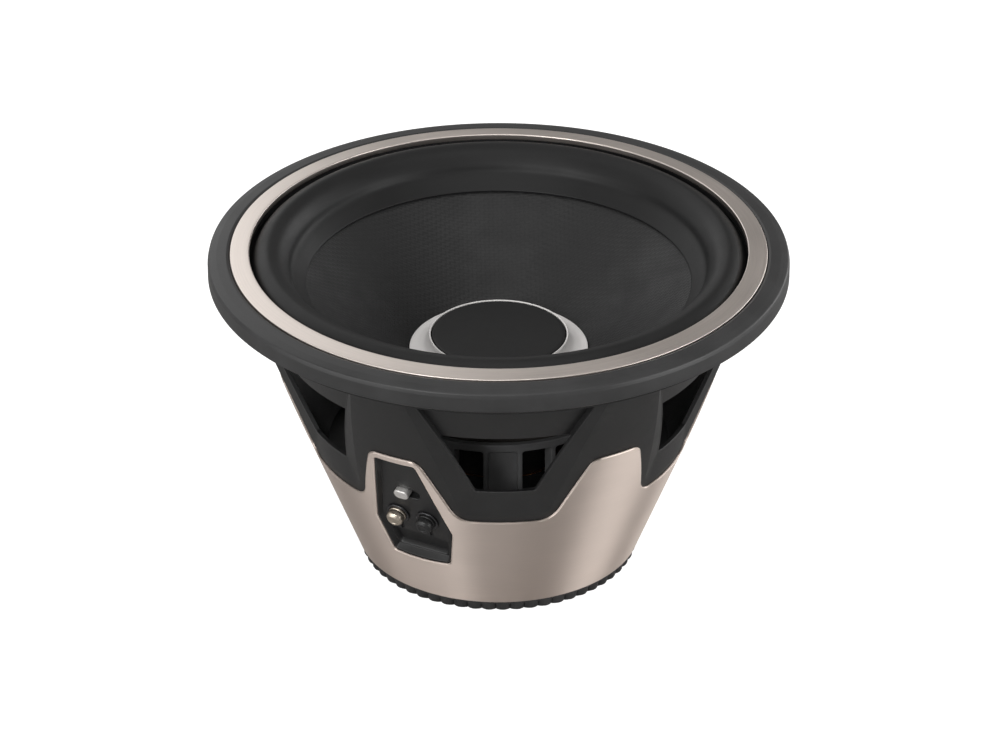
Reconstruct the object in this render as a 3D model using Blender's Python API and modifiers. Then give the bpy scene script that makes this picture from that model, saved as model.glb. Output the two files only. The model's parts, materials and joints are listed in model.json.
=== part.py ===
"""Car subwoofer driver: sizes in millimetres below, scene in metres, +Z out of the cone, -Y to the front."""

import math

import bpy
from mathutils import Matrix

MM = 0.001
SIDES = 60  # facets of the large turned pieces
SMALL_SIDES = 32
GAP = 0.3
HOLE_PHASE = 0.37  # turns a hole's corners off the seams of the piece it is cut from

# Body cone: the outer face of the skirt and, one skirt thickness inside it, of the basket
BODY_R_AT_SKIRT = 81.93
BODY_FLARE = 0.3919  # radius gained per unit of height
SKIRT_BOTTOM_Z = 7.0
SKIRT_T = 1.2
LEAN = math.atan(BODY_FLARE)
BASKET_INSET = SKIRT_T + GAP

# Rim
TRIM_R = 165.0
TRIM_Z0, TRIM_Z1 = 179.4, 189.8
FLANGE_R = 162.0
FLANGE_Z0, FLANGE_Z1 = 177.5, 181.5
FLANGE_BORE_R = 139.5
FLANGE_HOLES = 8
FLANGE_HOLE_R = 2.75
FLANGE_PCD_R = 156.0
FLANGE_HOLE_AZ = 22.5
ACCENT_R0, ACCENT_R1 = 141.4, 152.3
ACCENT_Z = 190.5  # its underside
ACCENT_INNER_Z, ACCENT_OUTER_Z = 194.0, 192.5

# Windows: half-width in degrees and height at the surface, at the bottom and at the top
WINDOWS = 6
WINDOW_PITCH = 360.0 / WINDOWS
BEVEL_DEPTH = 3.5
SILL_OUT = (12.9, 81.0)
HEAD_OUT = (24.6, 176.9)
SILL_IN = (9.1, 97.7)
HEAD_IN = (24.1, 176.9)
OPENING_DEPTH = 8.0  # of the opening's cutter: through the wall, and into the hoop behind the window's head

# Basket wall
WALL_T, LOWER_WALL_T = 6.0, 3.5
HOOP_T, HOOP_Z = 10.5, 139.5
BASKET_BOTTOM_Z = 9.5
FLOOR_Z0, FLOOR_Z1 = 62.6, 68.6
FLOOR_BORE_R = 46.0

# Skirt's top edge, in degrees from a window's centre and height
VALLEY_AZ, VALLEY_Z = 14.15, 76.0
TAB_AZ, TAB_Z = 23.0, 119.5

# Motor
BACK_R, BACK_Z0, BACK_Z1 = 74.0, 3.0, 15.0
MAGNET_R0, MAGNET_R1, MAGNET_T = 46.0, 72.0, 18.0
TOP_PLATE_R0, TOP_PLATE_T = 41.0, 10.4
POLE_R, POLE_TOP_Z, VENT_R = 36.6, 66.0, 13.0
BOLTS, BOLT_PCD_R, BOLT_R, BOLT_HEAD_R = 6, 55.0, 2.5, 4.2

# Moving assembly
COIL_R = 38.0
CONE_Z0 = 118.0
FLARE_R, FLARE_Z = 51.0, 127.5
CONE_EDGE_R, CONE_EDGE_Z = 110.0, 170.8
DISC_R, DISC_Z = 38.3, 138.0

# Spider and its seat
SEAT_Z0, SEAT_LEDGE_Z, SEAT_Z1 = 68.9, 103.8, 106.9
SEAT_R0, SEAT_PANEL_R, SEAT_LIP_R, SEAT_R1 = 66.0, 71.5, 71.8, 75.5
SPIDER_Z = 104.6
RIBS = 24

# Terminal panel: half-widths and heights along the panel, from its centre on the body cone
PANEL_AZ = -30.0
PANEL_Z = 76.0
PANEL_TOP = (13.0, 42.4)
PANEL_MID = (24.4, -15.0)
PANEL_LOW = (18.2, -42.4)
PLATE_DEPTH, POCKET_DEPTH, CUP_DEPTH = 5.5, 8.5, 16.0
CAPS_X = (-10.3, 8.3)  # the positive cap's and the negative cap's
CAP_Y, CAP_R, CAP_TOP = -10.3, 5.2, 2.0
SLOT_X, SLOT_Y, SLOT_LENGTH, SLOT_WIDTH = -0.5, 10.0, 15.5, 7.4
KNOB_LENGTH, KNOB_WIDTH = 9.0, 6.6

# Base ring
BASE_R0, BASE_R1, BASE_LIP_R = 66.0, 80.6, 74.4
BASE_TOP_Z = 6.7
TEETH, TOOTH = 60, 1.1
SCREWS, SCREW_PCD_R, SCREW_R, SCREW_HEAD_R = 4, 70.0, 1.5, 2.7
SCREW_SEAT_Z = 1.5


def body_r(z):
    """Radius of the body cone at a height."""
    return BODY_R_AT_SKIRT + BODY_FLARE * (z - SKIRT_BOTTOM_Z)


def clear_scene():
    for obj in list(bpy.data.objects):
        bpy.data.objects.remove(obj, do_unlink=True)


def collection(name, hidden=False):
    made = bpy.data.collections.new(name)
    made.hide_render = hidden
    bpy.context.scene.collection.children.link(made)
    return made


def material(name, color, roughness, metallic=0.0):
    made = bpy.data.materials.new(name)
    made.use_nodes = True
    shader = made.node_tree.nodes["Principled BSDF"]
    shader.inputs["Base Color"].default_value = (*color, 1.0)
    shader.inputs["Roughness"].default_value = roughness
    shader.inputs["Metallic"].default_value = metallic
    return made


def add_mesh(name, points, faces, paint, edges=()):
    """An object from points in millimetres. With no paint it is a cutter."""
    mesh = bpy.data.meshes.new(name)
    mesh.from_pydata([(x * MM, y * MM, z * MM) for x, y, z in points], edges, faces)
    obj = bpy.data.objects.new(name, mesh)
    if paint is None:
        CUTTERS.objects.link(obj)
        obj.hide_render = True
        obj.display_type = "WIRE"
    else:
        PARTS.objects.link(obj)
        mesh.materials.append(paint)
    return obj


def clockwise(loop):
    """The closed (r, z) loop, running down its outer side."""
    area = sum(a[0] * b[1] - b[0] * a[1] for a, b in zip(loop, loop[1:] + loop[:1]))
    return loop if area < 0 else loop[::-1]


def turned(name, profile, paint, sides=SIDES, on_axis=False):
    """A turned piece. Its (r, z) profile is a closed loop, or runs from the axis down to the axis."""
    points = profile if on_axis else clockwise(profile)
    edges = [(i, i + 1) for i in range(len(points) - 1)]
    if not on_axis:
        edges.append((len(points) - 1, 0))
    obj = add_mesh(name, [(r, 0.0, z) for r, z in points], [], paint, edges)
    screw = obj.modifiers.new("turn", "SCREW")
    screw.axis = "Z"
    screw.angle = math.tau
    screw.steps = sides
    screw.render_steps = sides
    screw.use_merge_vertices = True
    screw.merge_threshold = 0.00001
    return obj


def ribbon(line, thickness):
    """The closed loop around a centre line of (r, z) points."""
    left, right = [], []
    for i, (r, z) in enumerate(line):
        before = line[max(i - 1, 0)]
        after = line[min(i + 1, len(line) - 1)]
        dr, dz = after[0] - before[0], after[1] - before[1]
        half = 0.5 * thickness / math.hypot(dr, dz)
        left.append((r - dz * half, z + dr * half))
        right.append((r + dz * half, z - dr * half))
    return left + right[::-1]


def cut(obj, cutter, operation="DIFFERENCE"):
    boolean = obj.modifiers.new(cutter.name, "BOOLEAN")
    boolean.operation = operation
    boolean.solver = "EXACT"
    boolean.object = cutter


def on_circle(r, az, z):
    """A point at an azimuth in degrees, counted from the front towards +X."""
    turn = math.radians(az)
    return (r * math.sin(turn), -r * math.cos(turn), z)


def block(points, faces, centre_az, low, high, columns):
    """Adds one closed block between two sections, each (half-width, z, inner r, outer r), to a cutter's mesh."""
    first = len(points)
    for column in range(columns + 1):
        share = 2.0 * column / columns - 1.0
        for half_in, z_in, r_in, half_out, z_out, r_out in (low, high):
            points.append(on_circle(r_in, centre_az + share * half_in, z_in))
            points.append(on_circle(r_out, centre_az + share * half_out, z_out))
    for column in range(columns):
        at = first + 4 * column
        faces.append((at, at + 4, at + 5, at + 1))
        faces.append((at + 1, at + 5, at + 7, at + 3))
        faces.append((at + 3, at + 7, at + 6, at + 2))
        faces.append((at + 2, at + 6, at + 4, at))
    last = first + 4 * columns
    faces.append((first, first + 1, first + 3, first + 2))
    faces.append((last, last + 2, last + 3, last + 1))


def straight(half, z, r_in, r_out):
    """A section whose two sides stand at the same azimuths."""
    return (half, z, r_in, half, z, r_out)


def window_cutters():
    """The wide bevels, and the openings through their floors."""
    beyond = 0.5  # share of the bevel's depth that its cutter runs on outside the wall
    lip_az, lip_z = 0.5, 1.0  # the ledge left between a bevel and its opening
    bevels = ([], [])
    openings = ([], [])
    for i in range(WINDOWS):
        az = i * WINDOW_PITCH
        rows = []
        for (half_out, z_out), (half_in, z_in) in ((SILL_OUT, SILL_IN), (HEAD_OUT, HEAD_IN)):
            r_out = body_r(z_out) - BASKET_INSET
            r_in = body_r(z_in) - BASKET_INSET - BEVEL_DEPTH
            outer = (
                half_out + beyond * (half_out - half_in),
                z_out + beyond * (z_out - z_in),
                r_out + beyond * (r_out - r_in),
            )
            rows.append((half_in, z_in, r_in, *outer))
        block(*bevels, az, rows[0], rows[1], 10)
        low_r = body_r(SILL_IN[1] + lip_z) - BASKET_INSET
        high_r = body_r(HEAD_IN[1] - lip_z) - BASKET_INSET
        low = straight(SILL_IN[0] - lip_az, SILL_IN[1] + lip_z, low_r - OPENING_DEPTH, low_r - 2.5)
        high = straight(HEAD_IN[0] - lip_az, HEAD_IN[1] - lip_z, high_r - OPENING_DEPTH, high_r - 2.5)
        block(*openings, az, low, high, 8)
    return add_mesh("bevel_cutter", *bevels, None), add_mesh("opening_cutter", *openings, None)


def holes(name, count, pitch_r, r, z0, z1, first_az=0.0, sides=12):
    """One cutter holding a circle of round holes."""
    points, faces = [], []
    for i in range(count):
        x, y, _ = on_circle(pitch_r, first_az + 360.0 * i / count, 0.0)
        start = len(points)
        for z in (z0, z1):
            for k in range(sides):
                turn = math.tau * (k + HOLE_PHASE) / sides
                points.append((x + r * math.cos(turn), y + r * math.sin(turn), z))
        for k in range(sides):
            after = (k + 1) % sides
            faces.append((start + k, start + after, start + sides + after, start + sides + k))
        faces.append(tuple(start + k for k in reversed(range(sides))))
        faces.append(tuple(start + sides + k for k in range(sides)))
    return add_mesh(name, points, faces, None)


def prism(name, outline, z0, z1, paint=None):
    """A closed prism over a counter-clockwise outline."""
    n = len(outline)
    points = [(x, y, z) for z in (z0, z1) for x, y in outline]
    faces = [(i, (i + 1) % n, n + (i + 1) % n, n + i) for i in range(n)]
    faces.append(tuple(reversed(range(n))))
    faces.append(tuple(range(n, 2 * n)))
    return add_mesh(name, points, faces, paint)


def panel_outline(grow):
    """The panel's six-sided outline, grown by a distance."""
    half = [PANEL_LOW, PANEL_MID, PANEL_TOP]
    right = [(x + grow, y + (grow if y > 0.0 else -grow if (x, y) == PANEL_LOW else 0.0)) for x, y in half]
    return right + [(-x, y) for x, y in reversed(right)]


def pill(x, y, length, width, corner_sides=6):
    """A slot's outline with round ends."""
    r = width / 2.0
    points = []
    for side, start in ((1, -90.0), (-1, 90.0)):
        for k in range(corner_sides + 1):
            turn = math.radians(start + 180.0 * k / corner_sides)
            points.append((x + side * (length / 2.0 - r) + r * math.cos(turn), y + r * math.sin(turn)))
    return points


def circle(x, y, r, sides=20):
    return [(x + r * math.cos(math.tau * k / sides), y + r * math.sin(math.tau * k / sides)) for k in range(sides)]


def on_panel(obj, x=0.0, y=0.0):
    """Stands an object on the terminal panel, its own +Z out along the panel's normal."""
    turn = Matrix.Rotation(math.radians(PANEL_AZ), 4, "Z") @ Matrix.Rotation(math.pi / 2.0 + LEAN, 4, "X")
    centre = on_circle(body_r(PANEL_Z), PANEL_AZ, PANEL_Z)
    base = Matrix.Translation([v * MM for v in centre]) @ turn
    obj.matrix_world = base @ Matrix.Translation((x * MM, y * MM, 0.0))
    return obj


def basket(paint):
    def outer(z):
        return body_r(z) - BASKET_INSET

    profile = [
        (FLANGE_BORE_R, FLANGE_Z1),
        (FLANGE_R, FLANGE_Z1),
        (FLANGE_R, FLANGE_Z0),
        (outer(FLANGE_Z0), FLANGE_Z0),
        (outer(BASKET_BOTTOM_Z), BASKET_BOTTOM_Z),
        (outer(BASKET_BOTTOM_Z) - LOWER_WALL_T, BASKET_BOTTOM_Z),
        (outer(FLOOR_Z0) - LOWER_WALL_T, FLOOR_Z0),
        (FLOOR_BORE_R, FLOOR_Z0),
        (FLOOR_BORE_R, FLOOR_Z1),
        (outer(FLOOR_Z1) - WALL_T, FLOOR_Z1),
        (outer(HOOP_Z) - WALL_T, HOOP_Z),
        (outer(HOOP_Z) - HOOP_T, HOOP_Z),
        (outer(168.0) - HOOP_T, 168.0),
        (FLANGE_BORE_R - 3.0, 174.0),
    ]
    made = turned("basket", profile, paint)
    bevels, openings = window_cutters()
    cut(made, bevels)
    cut(made, openings)
    cut(made, holes("flange_holes", FLANGE_HOLES, FLANGE_PCD_R, FLANGE_HOLE_R, 176.0, 183.0, FLANGE_HOLE_AZ))
    cut(made, holes("floor_holes", BOLTS, BOLT_PCD_R, BOLT_R + GAP, 61.0, 70.0, 30.0))
    cut(made, on_panel(prism("cup_space", panel_outline(GAP), -CUP_DEPTH - 2.0 * GAP, 20.0)))
    return made


def skirt_top(az):
    """Height of the skirt's top edge."""
    off = abs((az + WINDOW_PITCH / 2.0) % WINDOW_PITCH - WINDOW_PITCH / 2.0)
    if off <= VALLEY_AZ:
        return VALLEY_Z
    if off >= TAB_AZ:
        return TAB_Z
    return VALLEY_Z + (TAB_Z - VALLEY_Z) * (off - VALLEY_AZ) / (TAB_AZ - VALLEY_AZ)


def skirt(paint):
    """A cone of sheet with its top edge stepping up over the spokes, thickened inwards."""
    eased = 1.8  # degrees over which a corner is rounded
    offsets = [0.0, 6.0, 11.0]
    offsets += [VALLEY_AZ - eased, VALLEY_AZ, VALLEY_AZ + eased]
    offsets += [TAB_AZ - eased, TAB_AZ, TAB_AZ + eased]
    half = offsets + [WINDOW_PITCH / 2.0]
    azimuths = []
    for i in range(WINDOWS):
        azimuths += [i * WINDOW_PITCH + off for off in half]
        azimuths += [(i + 1) * WINDOW_PITCH - off for off in reversed(offsets[1:])]
    points = []
    for az in azimuths:
        near = 0.5 * eased
        z = (skirt_top(az - near) + skirt_top(az) + skirt_top(az + near)) / 3.0
        points.append(on_circle(body_r(SKIRT_BOTTOM_Z), az, SKIRT_BOTTOM_Z))
        points.append(on_circle(body_r(z), az, z))
    n = len(azimuths)
    faces = []
    for i in range(n):
        after = (i + 1) % n
        faces.append((2 * i, 2 * after, 2 * after + 1, 2 * i + 1))
    made = add_mesh("skirt", points, faces, paint)
    solidify = made.modifiers.new("thickness", "SOLIDIFY")
    solidify.thickness = SKIRT_T * MM
    solidify.offset = -1.0
    cut(made, on_panel(prism("panel_hole", panel_outline(0.0), -12.0, 12.0)))
    return made


def base_ring(paint):
    """A ring with a lip under the back plate and a row of rounded teeth round its lower edge."""
    samples = 3 * TEETH
    rows = [
        (BASE_LIP_R, BASE_TOP_Z, 0.0),
        (BASE_R1, BASE_TOP_Z, 0.0),
        (BASE_R1 - TOOTH, 4.2, TOOTH),
        (BASE_R1 - 2.0 * TOOTH, 0.0, TOOTH),
        (BASE_R0, 0.0, 0.0),
        (BASE_R0, BACK_Z0 - GAP, 0.0),
        (BASE_LIP_R, BACK_Z0 - GAP, 0.0),
    ]
    points, faces = [], []
    for k in range(samples):
        az = 360.0 * k / samples
        wave = math.cos(math.radians(az * TEETH))
        points += [on_circle(r + swing * wave, az, z) for r, z, swing in rows]
    size = len(rows)
    for k in range(samples):
        here, there = size * k, size * ((k + 1) % samples)
        for row in range(size):
            after = (row + 1) % size
            faces.append((here + row, here + after, there + after, there + row))
    made = add_mesh("base_ring", points, faces, paint)
    cut(made, holes("screw_seats", SCREWS, SCREW_PCD_R, SCREW_HEAD_R + GAP, -1.0, SCREW_SEAT_Z, 45.0))
    cut(made, holes("screw_holes", SCREWS, SCREW_PCD_R, SCREW_R + GAP, 1.0, 4.0, 45.0))
    return made


def motor(steel, ferrite, aluminium, black):
    back = [
        (VENT_R, POLE_TOP_Z - 3.0),
        (VENT_R + 3.0, POLE_TOP_Z),
        (POLE_R, POLE_TOP_Z),
        (POLE_R, BACK_Z1),
        (BACK_R, BACK_Z1),
        (BACK_R, BACK_Z0),
        (21.0, BACK_Z0),
        (21.0, 5.4),
        (19.0, 5.4),
        (VENT_R, 14.0),
    ]
    plate = turned("back_plate", back, steel, SMALL_SIDES)
    cut(plate, holes("base_screw_holes", SCREWS, SCREW_PCD_R, SCREW_R + GAP, 2.0, 11.5, 45.0))
    z = BACK_Z1 + GAP
    for name in ("magnet_lower", "magnet_upper"):
        turned(name, ring(MAGNET_R0, MAGNET_R1, z, z + MAGNET_T), ferrite, SMALL_SIDES)
        z += MAGNET_T + GAP
    top = turned("top_plate", ring(TOP_PLATE_R0, MAGNET_R1, z, z + TOP_PLATE_T), steel, SMALL_SIDES)
    cut(top, holes("top_plate_holes", BOLTS, BOLT_PCD_R, BOLT_R + GAP, z + 1.0, 70.0, 30.0))
    turned("shorting_ring", ring(42.0, 45.6, BACK_Z1 + GAP, 31.0), aluminium, SMALL_SIDES)
    screen = turned("vent_screen", [(0.0, 4.6), (20.7, 4.6), (20.7, 3.4), (0.0, 3.4)], black, SMALL_SIDES, True)
    cut(screen, holes("screen_inner", 6, 7.0, 2.3, 2.0, 6.0, 0.0, 8))
    cut(screen, holes("screen_outer", 12, 14.5, 2.3, 2.0, 6.0, 15.0, 8))


def ring(r0, r1, z0, z1):
    return [(r0, z1), (r1, z1), (r1, z0), (r0, z0)]


def spider_seat(paint):
    """The ribbed riser whose ledge the spider is glued to: posts all round, and a panel across each window."""
    profile = [
        (SEAT_R0, SEAT_LEDGE_Z),
        (SEAT_LIP_R, SEAT_LEDGE_Z),
        (SEAT_LIP_R, SEAT_Z1),
        (SEAT_R1, SEAT_Z1),
        (SEAT_R1, SEAT_Z0),
        (SEAT_R0, SEAT_Z0),
    ]
    made = turned("spider_seat", profile, paint, SIDES)
    points, faces = [], []
    pitch = 360.0 / RIBS
    space = (pitch - 2.2) / 2.0
    z0, z1 = SEAT_Z0 + 4.0, SEAT_Z1 - 4.7
    for i in range(RIBS):
        panel = i % (RIBS // WINDOWS) == 0
        r0 = SEAT_PANEL_R if panel else SEAT_R0 - 2.0
        low = straight(space, z0, r0, SEAT_R1 + 3.0)
        high = straight(space, z1, r0, SEAT_R1 + 3.0)
        block(points, faces, i * pitch, low, high, 3)
    cut(made, add_mesh("seat_spaces", points, faces, None))
    return made


def bolt(name, x, y, z_seat, head_r, head_h, r, length, paint, down=True):
    """A socket-head screw. Its head stands on z_seat and its shank runs the other way."""
    side = 1.0 if down else -1.0
    socket = 0.5 * head_r
    profile = [
        (0.0, 0.45 * head_h),
        (socket, 0.45 * head_h),
        (socket, head_h),
        (head_r, head_h),
        (head_r, 0.0),
        (r, 0.0),
        (r, -length),
        (0.0, -length),
    ]
    made = turned(name, profile, paint, 10, True)
    made.location = (x * MM, y * MM, z_seat * MM)
    if not down:
        made.rotation_euler = (math.pi, 0.0, 0.0)
    return made


def fasteners(paint):
    for i in range(BOLTS):
        x, y, _ = on_circle(BOLT_PCD_R, 30.0 + 360.0 * i / BOLTS, 0.0)
        bolt(f"plate_bolt_{i + 1}", x, y, FLOOR_Z1 + GAP, BOLT_HEAD_R, 4.5, BOLT_R, 13.5, paint)
    for i in range(SCREWS):
        x, y, _ = on_circle(SCREW_PCD_R, 45.0 + 360.0 * i / SCREWS, 0.0)
        bolt(f"base_screw_{i + 1}", x, y, SCREW_SEAT_Z - GAP, SCREW_HEAD_R, 1.1, SCREW_R, 8.5, paint, False)


def rim(rubber, champagne, foam):
    trim = [
        (143.0, 190.2),
        (ACCENT_R1 + 0.6, 190.2),
        (ACCENT_R1 + 0.6, 191.4),
        (154.0, 192.2),
        (159.5, 191.2),
        (TRIM_R - 0.9, 190.2),
        (TRIM_R, TRIM_Z1 - 0.6),
        (TRIM_R, TRIM_Z0),
        (FLANGE_R + 0.6, TRIM_Z0),
        (FLANGE_R + 0.6, FLANGE_Z1 + GAP),
        (152.0, FLANGE_Z1 + GAP),
        (152.0, 184.6),
        (143.0, 184.6),
    ]
    turned("trim_ring", trim, rubber)
    accent = [
        (ACCENT_R0, ACCENT_INNER_Z - 0.5),
        (ACCENT_R0 + 0.5, ACCENT_INNER_Z),
        (ACCENT_R1 - 0.5, ACCENT_OUTER_Z + 0.1),
        (ACCENT_R1, ACCENT_OUTER_Z - 0.5),
        (ACCENT_R1, ACCENT_Z),
        (ACCENT_R0, ACCENT_Z),
    ]
    turned("accent_ring", accent, champagne)
    turned("baffle_gasket", ring(148.0, 160.0, 175.2, FLANGE_Z0 - GAP), foam)


def cone_parts(cone_paint, satin, black, former, copper, rubber, cloth):
    """The pieces that move with the cone, with the surround and the spider that flex."""
    slope = (CONE_EDGE_Z - FLARE_Z) / (CONE_EDGE_R - FLARE_R)
    cone_line = [
        (COIL_R + 2.6, CONE_Z0 + 1.0),
        (FLARE_R, FLARE_Z - 0.7),
        (0.5 * (FLARE_R + CONE_EDGE_R), FLARE_Z - 0.7 + 0.5 * slope * (CONE_EDGE_R - FLARE_R)),
        (CONE_EDGE_R, CONE_EDGE_Z - 0.7),
        (117.6, 177.3),
    ]
    turned("cone", ribbon(cone_line, 1.3), cone_paint)
    flare = [(FLARE_R, FLARE_Z + 1.3), (46.5, 129.2), (42.6, 131.0), (40.4, 134.3), (39.5, 137.8)]
    turned("dust_cap_flare", ribbon(flare, 1.2), satin, SMALL_SIDES)
    disc = [
        (0.0, DISC_Z),
        (DISC_R - 0.3, DISC_Z),
        (DISC_R, DISC_Z - 0.4),
        (DISC_R, DISC_Z - 1.6),
        (0.0, DISC_Z - 1.6),
    ]
    turned("dust_cap_disc", disc, black, SMALL_SIDES, True)
    turned("coil_former", ring(COIL_R - 0.5, COIL_R, 35.0, DISC_Z - 1.9), former, SMALL_SIDES)
    turned("voice_coil", ring(COIL_R + GAP, COIL_R + 2.0, 47.0, 65.0), copper, SMALL_SIDES)
    turned("coil_collar", ring(COIL_R + GAP, COIL_R + 2.0, 101.0, 116.5), black, SMALL_SIDES)
    surround = [
        (110.0, 172.6),
        (118.6, 180.8),
        (120.6, 185.4),
        (124.2, 190.0),
        (128.0, 192.2),
        (132.0, 192.8),
        (137.0, 190.6),
        (139.5, 187.0),
        (140.2, 184.2),
        (142.2, 183.2),
        (151.2, 183.2),
    ]
    turned("surround", ribbon(surround, 1.5), rubber)
    waves, swing, inner, outer = 3, 2.2, 44.0, 64.0
    line = [(COIL_R + 2.4, SPIDER_Z), (inner - 1.2, SPIDER_Z)]
    for k in range(1, 4 * waves):
        r = inner + (outer - inner) * k / (4 * waves)
        line.append((r, SPIDER_Z + swing * math.sin(math.tau * waves * (r - inner) / (outer - inner))))
    line += [(outer + 0.8, SPIDER_Z), (SEAT_LIP_R - GAP, SPIDER_Z)]
    turned("spider", ribbon(line, 0.9), cloth, SMALL_SIDES)


def leads(paint):
    """Two flexible leads, each arching from the seat to the cone's neck."""
    for name, az in (("lead_positive", -75.0), ("lead_negative", -66.0)):
        curve = bpy.data.curves.new(name, "CURVE")
        curve.dimensions = "3D"
        curve.bevel_depth = 0.9 * MM
        curve.bevel_resolution = 1
        curve.use_fill_caps = True
        spline = curve.splines.new("POLY")
        steps = 10
        spline.points.add(steps)
        for k in range(steps + 1):
            share = k / steps
            r = 73.6 + (56.5 - 73.6) * share
            z = 108.1 + 20.8 * share - 7.0 * math.sin(math.pi * share) + 3.0 * math.sin(math.tau * share)
            x, y, height = on_circle(r, az, z)
            spline.points[k].co = (x * MM, y * MM, height * MM, 1.0)
        curve.materials.append(paint)
        obj = bpy.data.objects.new(name, curve)
        PARTS.objects.link(obj)


def terminals(black, satin, gold, dark, steel):
    cup = on_panel(prism("terminal_cup", panel_outline(-GAP), -CUP_DEPTH, -1.4, black))
    cut(cup, on_panel(prism("plate_space", panel_outline(-1.6), -PLATE_DEPTH, 5.0)))
    pocket = [(16.2, -40.0), (19.8, -25.0), (-19.8, -25.0), (-16.2, -40.0)]
    cut(cup, on_panel(prism("pocket_space", pocket, -POCKET_DEPTH, 5.5)))
    for sign, x in zip(("positive", "negative"), CAPS_X):
        bore = prism(f"{sign}_bore", circle(0.0, 0.0, CAP_R + GAP), -13.4, 3.0)
        cut(cup, on_panel(bore, x, CAP_Y))
        tunnel = on_panel(prism(f"{sign}_wire_bore", circle(0.0, 0.0, 1.3, 12), -12.0, 1.0), x, -26.0)
        lie_down = Matrix.Translation((0.0, 0.0, -6.1 * MM)) @ Matrix.Rotation(math.pi / 2.0, 4, "X")
        tunnel.matrix_world = tunnel.matrix_world @ lie_down
        cut(cup, tunnel)
    slot = prism("slot_space", pill(SLOT_X, SLOT_Y, SLOT_LENGTH, SLOT_WIDTH), -9.0, 4.0)
    cut(cup, on_panel(slot))
    knob_x = SLOT_X - (SLOT_LENGTH - KNOB_LENGTH) / 2.0 + GAP
    knob = on_panel(prism("selector_knob", pill(0.0, 0.0, KNOB_LENGTH, KNOB_WIDTH), -8.6, -2.6, satin), knob_x, SLOT_Y)
    bevel = knob.modifiers.new("edge", "BEVEL")
    bevel.width = 0.5 * MM
    bevel.limit_method = "ANGLE"
    bevel.angle_limit = math.radians(50.0)
    dome = [
        (0.0, CAP_TOP),
        (2.6, CAP_TOP - 0.35),
        (4.4, CAP_TOP - 1.3),
        (CAP_R, CAP_TOP - 2.6),
        (CAP_R, -9.6),
        (0.0, -9.6),
    ]
    sleeve = ring(CAP_R + GAP, CAP_R + 1.8, -PLATE_DEPTH + GAP, -PLATE_DEPTH + 1.5)
    for sign, x, paint in zip(("positive", "negative"), CAPS_X, (gold, dark)):
        on_panel(turned(f"{sign}_cap", dome, paint, 20, True), x, CAP_Y)
        on_panel(turned(f"{sign}_bezel", sleeve, steel, 20), x, CAP_Y)


clear_scene()
PARTS = collection("car_subwoofer")
CUTTERS = collection("cutters", hidden=True)

PLASTIC_BLACK = material("plastic_black", (0.03, 0.03, 0.032), 0.55)
RUBBER_BLACK = material("rubber_black", (0.045, 0.045, 0.047), 0.6)
FOAM = material("foam_black", (0.02, 0.02, 0.02), 0.95)
CHAMPAGNE = material("champagne_metal", (0.62, 0.55, 0.49), 0.35, 1.0)
SATIN = material("satin_silver", (0.72, 0.71, 0.7), 0.32, 1.0)
STEEL = material("steel_dark", (0.2, 0.2, 0.21), 0.4, 1.0)
FERRITE = material("ferrite", (0.05, 0.05, 0.055), 0.7)
ALUMINIUM = material("aluminium", (0.8, 0.8, 0.82), 0.35, 1.0)
CONE_BLACK = material("woven_black", (0.025, 0.025, 0.027), 0.6)
FORMER = material("former_black", (0.03, 0.03, 0.03), 0.45)
COPPER = material("copper_wire", (0.7, 0.33, 0.16), 0.35, 1.0)
CLOTH = material("spider_cloth", (0.05, 0.045, 0.04), 0.9)
GOLD = material("gold_cap", (0.75, 0.62, 0.42), 0.35, 1.0)
BRAID = material("braided_lead", (0.7, 0.66, 0.6), 0.4, 1.0)

basket(PLASTIC_BLACK)
skirt(CHAMPAGNE)
base_ring(RUBBER_BLACK)
motor(STEEL, FERRITE, ALUMINIUM, PLASTIC_BLACK)
spider_seat(PLASTIC_BLACK)
fasteners(STEEL)
rim(RUBBER_BLACK, CHAMPAGNE, FOAM)
cone_parts(CONE_BLACK, SATIN, PLASTIC_BLACK, FORMER, COPPER, RUBBER_BLACK, CLOTH)
leads(BRAID)
terminals(PLASTIC_BLACK, SATIN, GOLD, PLASTIC_BLACK, STEEL)
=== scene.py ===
"""Looks of a car subwoofer driver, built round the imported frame.

Sizes are in millimetres, the scene in metres, and az in degrees from the front (-Y) towards +X.
"""

import json
import math

import bmesh
import bpy
import numpy as np
from mathutils import Matrix, Vector
from mathutils.geometry import delaunay_2d_cdt

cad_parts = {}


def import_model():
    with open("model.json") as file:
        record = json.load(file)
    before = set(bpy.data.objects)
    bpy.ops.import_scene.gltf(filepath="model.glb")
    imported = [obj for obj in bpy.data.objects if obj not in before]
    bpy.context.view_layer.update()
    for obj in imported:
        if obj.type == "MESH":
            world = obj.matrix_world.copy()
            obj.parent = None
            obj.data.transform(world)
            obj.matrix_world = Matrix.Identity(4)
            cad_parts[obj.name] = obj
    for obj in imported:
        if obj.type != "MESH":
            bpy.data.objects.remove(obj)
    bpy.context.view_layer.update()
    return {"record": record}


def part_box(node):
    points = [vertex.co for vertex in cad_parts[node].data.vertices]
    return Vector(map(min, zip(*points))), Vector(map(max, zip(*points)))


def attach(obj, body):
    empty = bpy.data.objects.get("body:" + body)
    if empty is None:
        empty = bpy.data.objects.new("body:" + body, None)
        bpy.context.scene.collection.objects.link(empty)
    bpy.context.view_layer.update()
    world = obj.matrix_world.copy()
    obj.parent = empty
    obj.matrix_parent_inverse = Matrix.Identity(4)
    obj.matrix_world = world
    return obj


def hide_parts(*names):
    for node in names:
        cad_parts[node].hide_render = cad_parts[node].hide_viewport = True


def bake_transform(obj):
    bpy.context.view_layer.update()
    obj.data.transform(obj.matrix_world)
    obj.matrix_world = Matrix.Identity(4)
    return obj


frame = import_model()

MM = 0.001
COLUMNS = 240  # round the large turned pieces
CENTRE_COLUMNS = 192
SMALL_COLUMNS = 96
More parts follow.
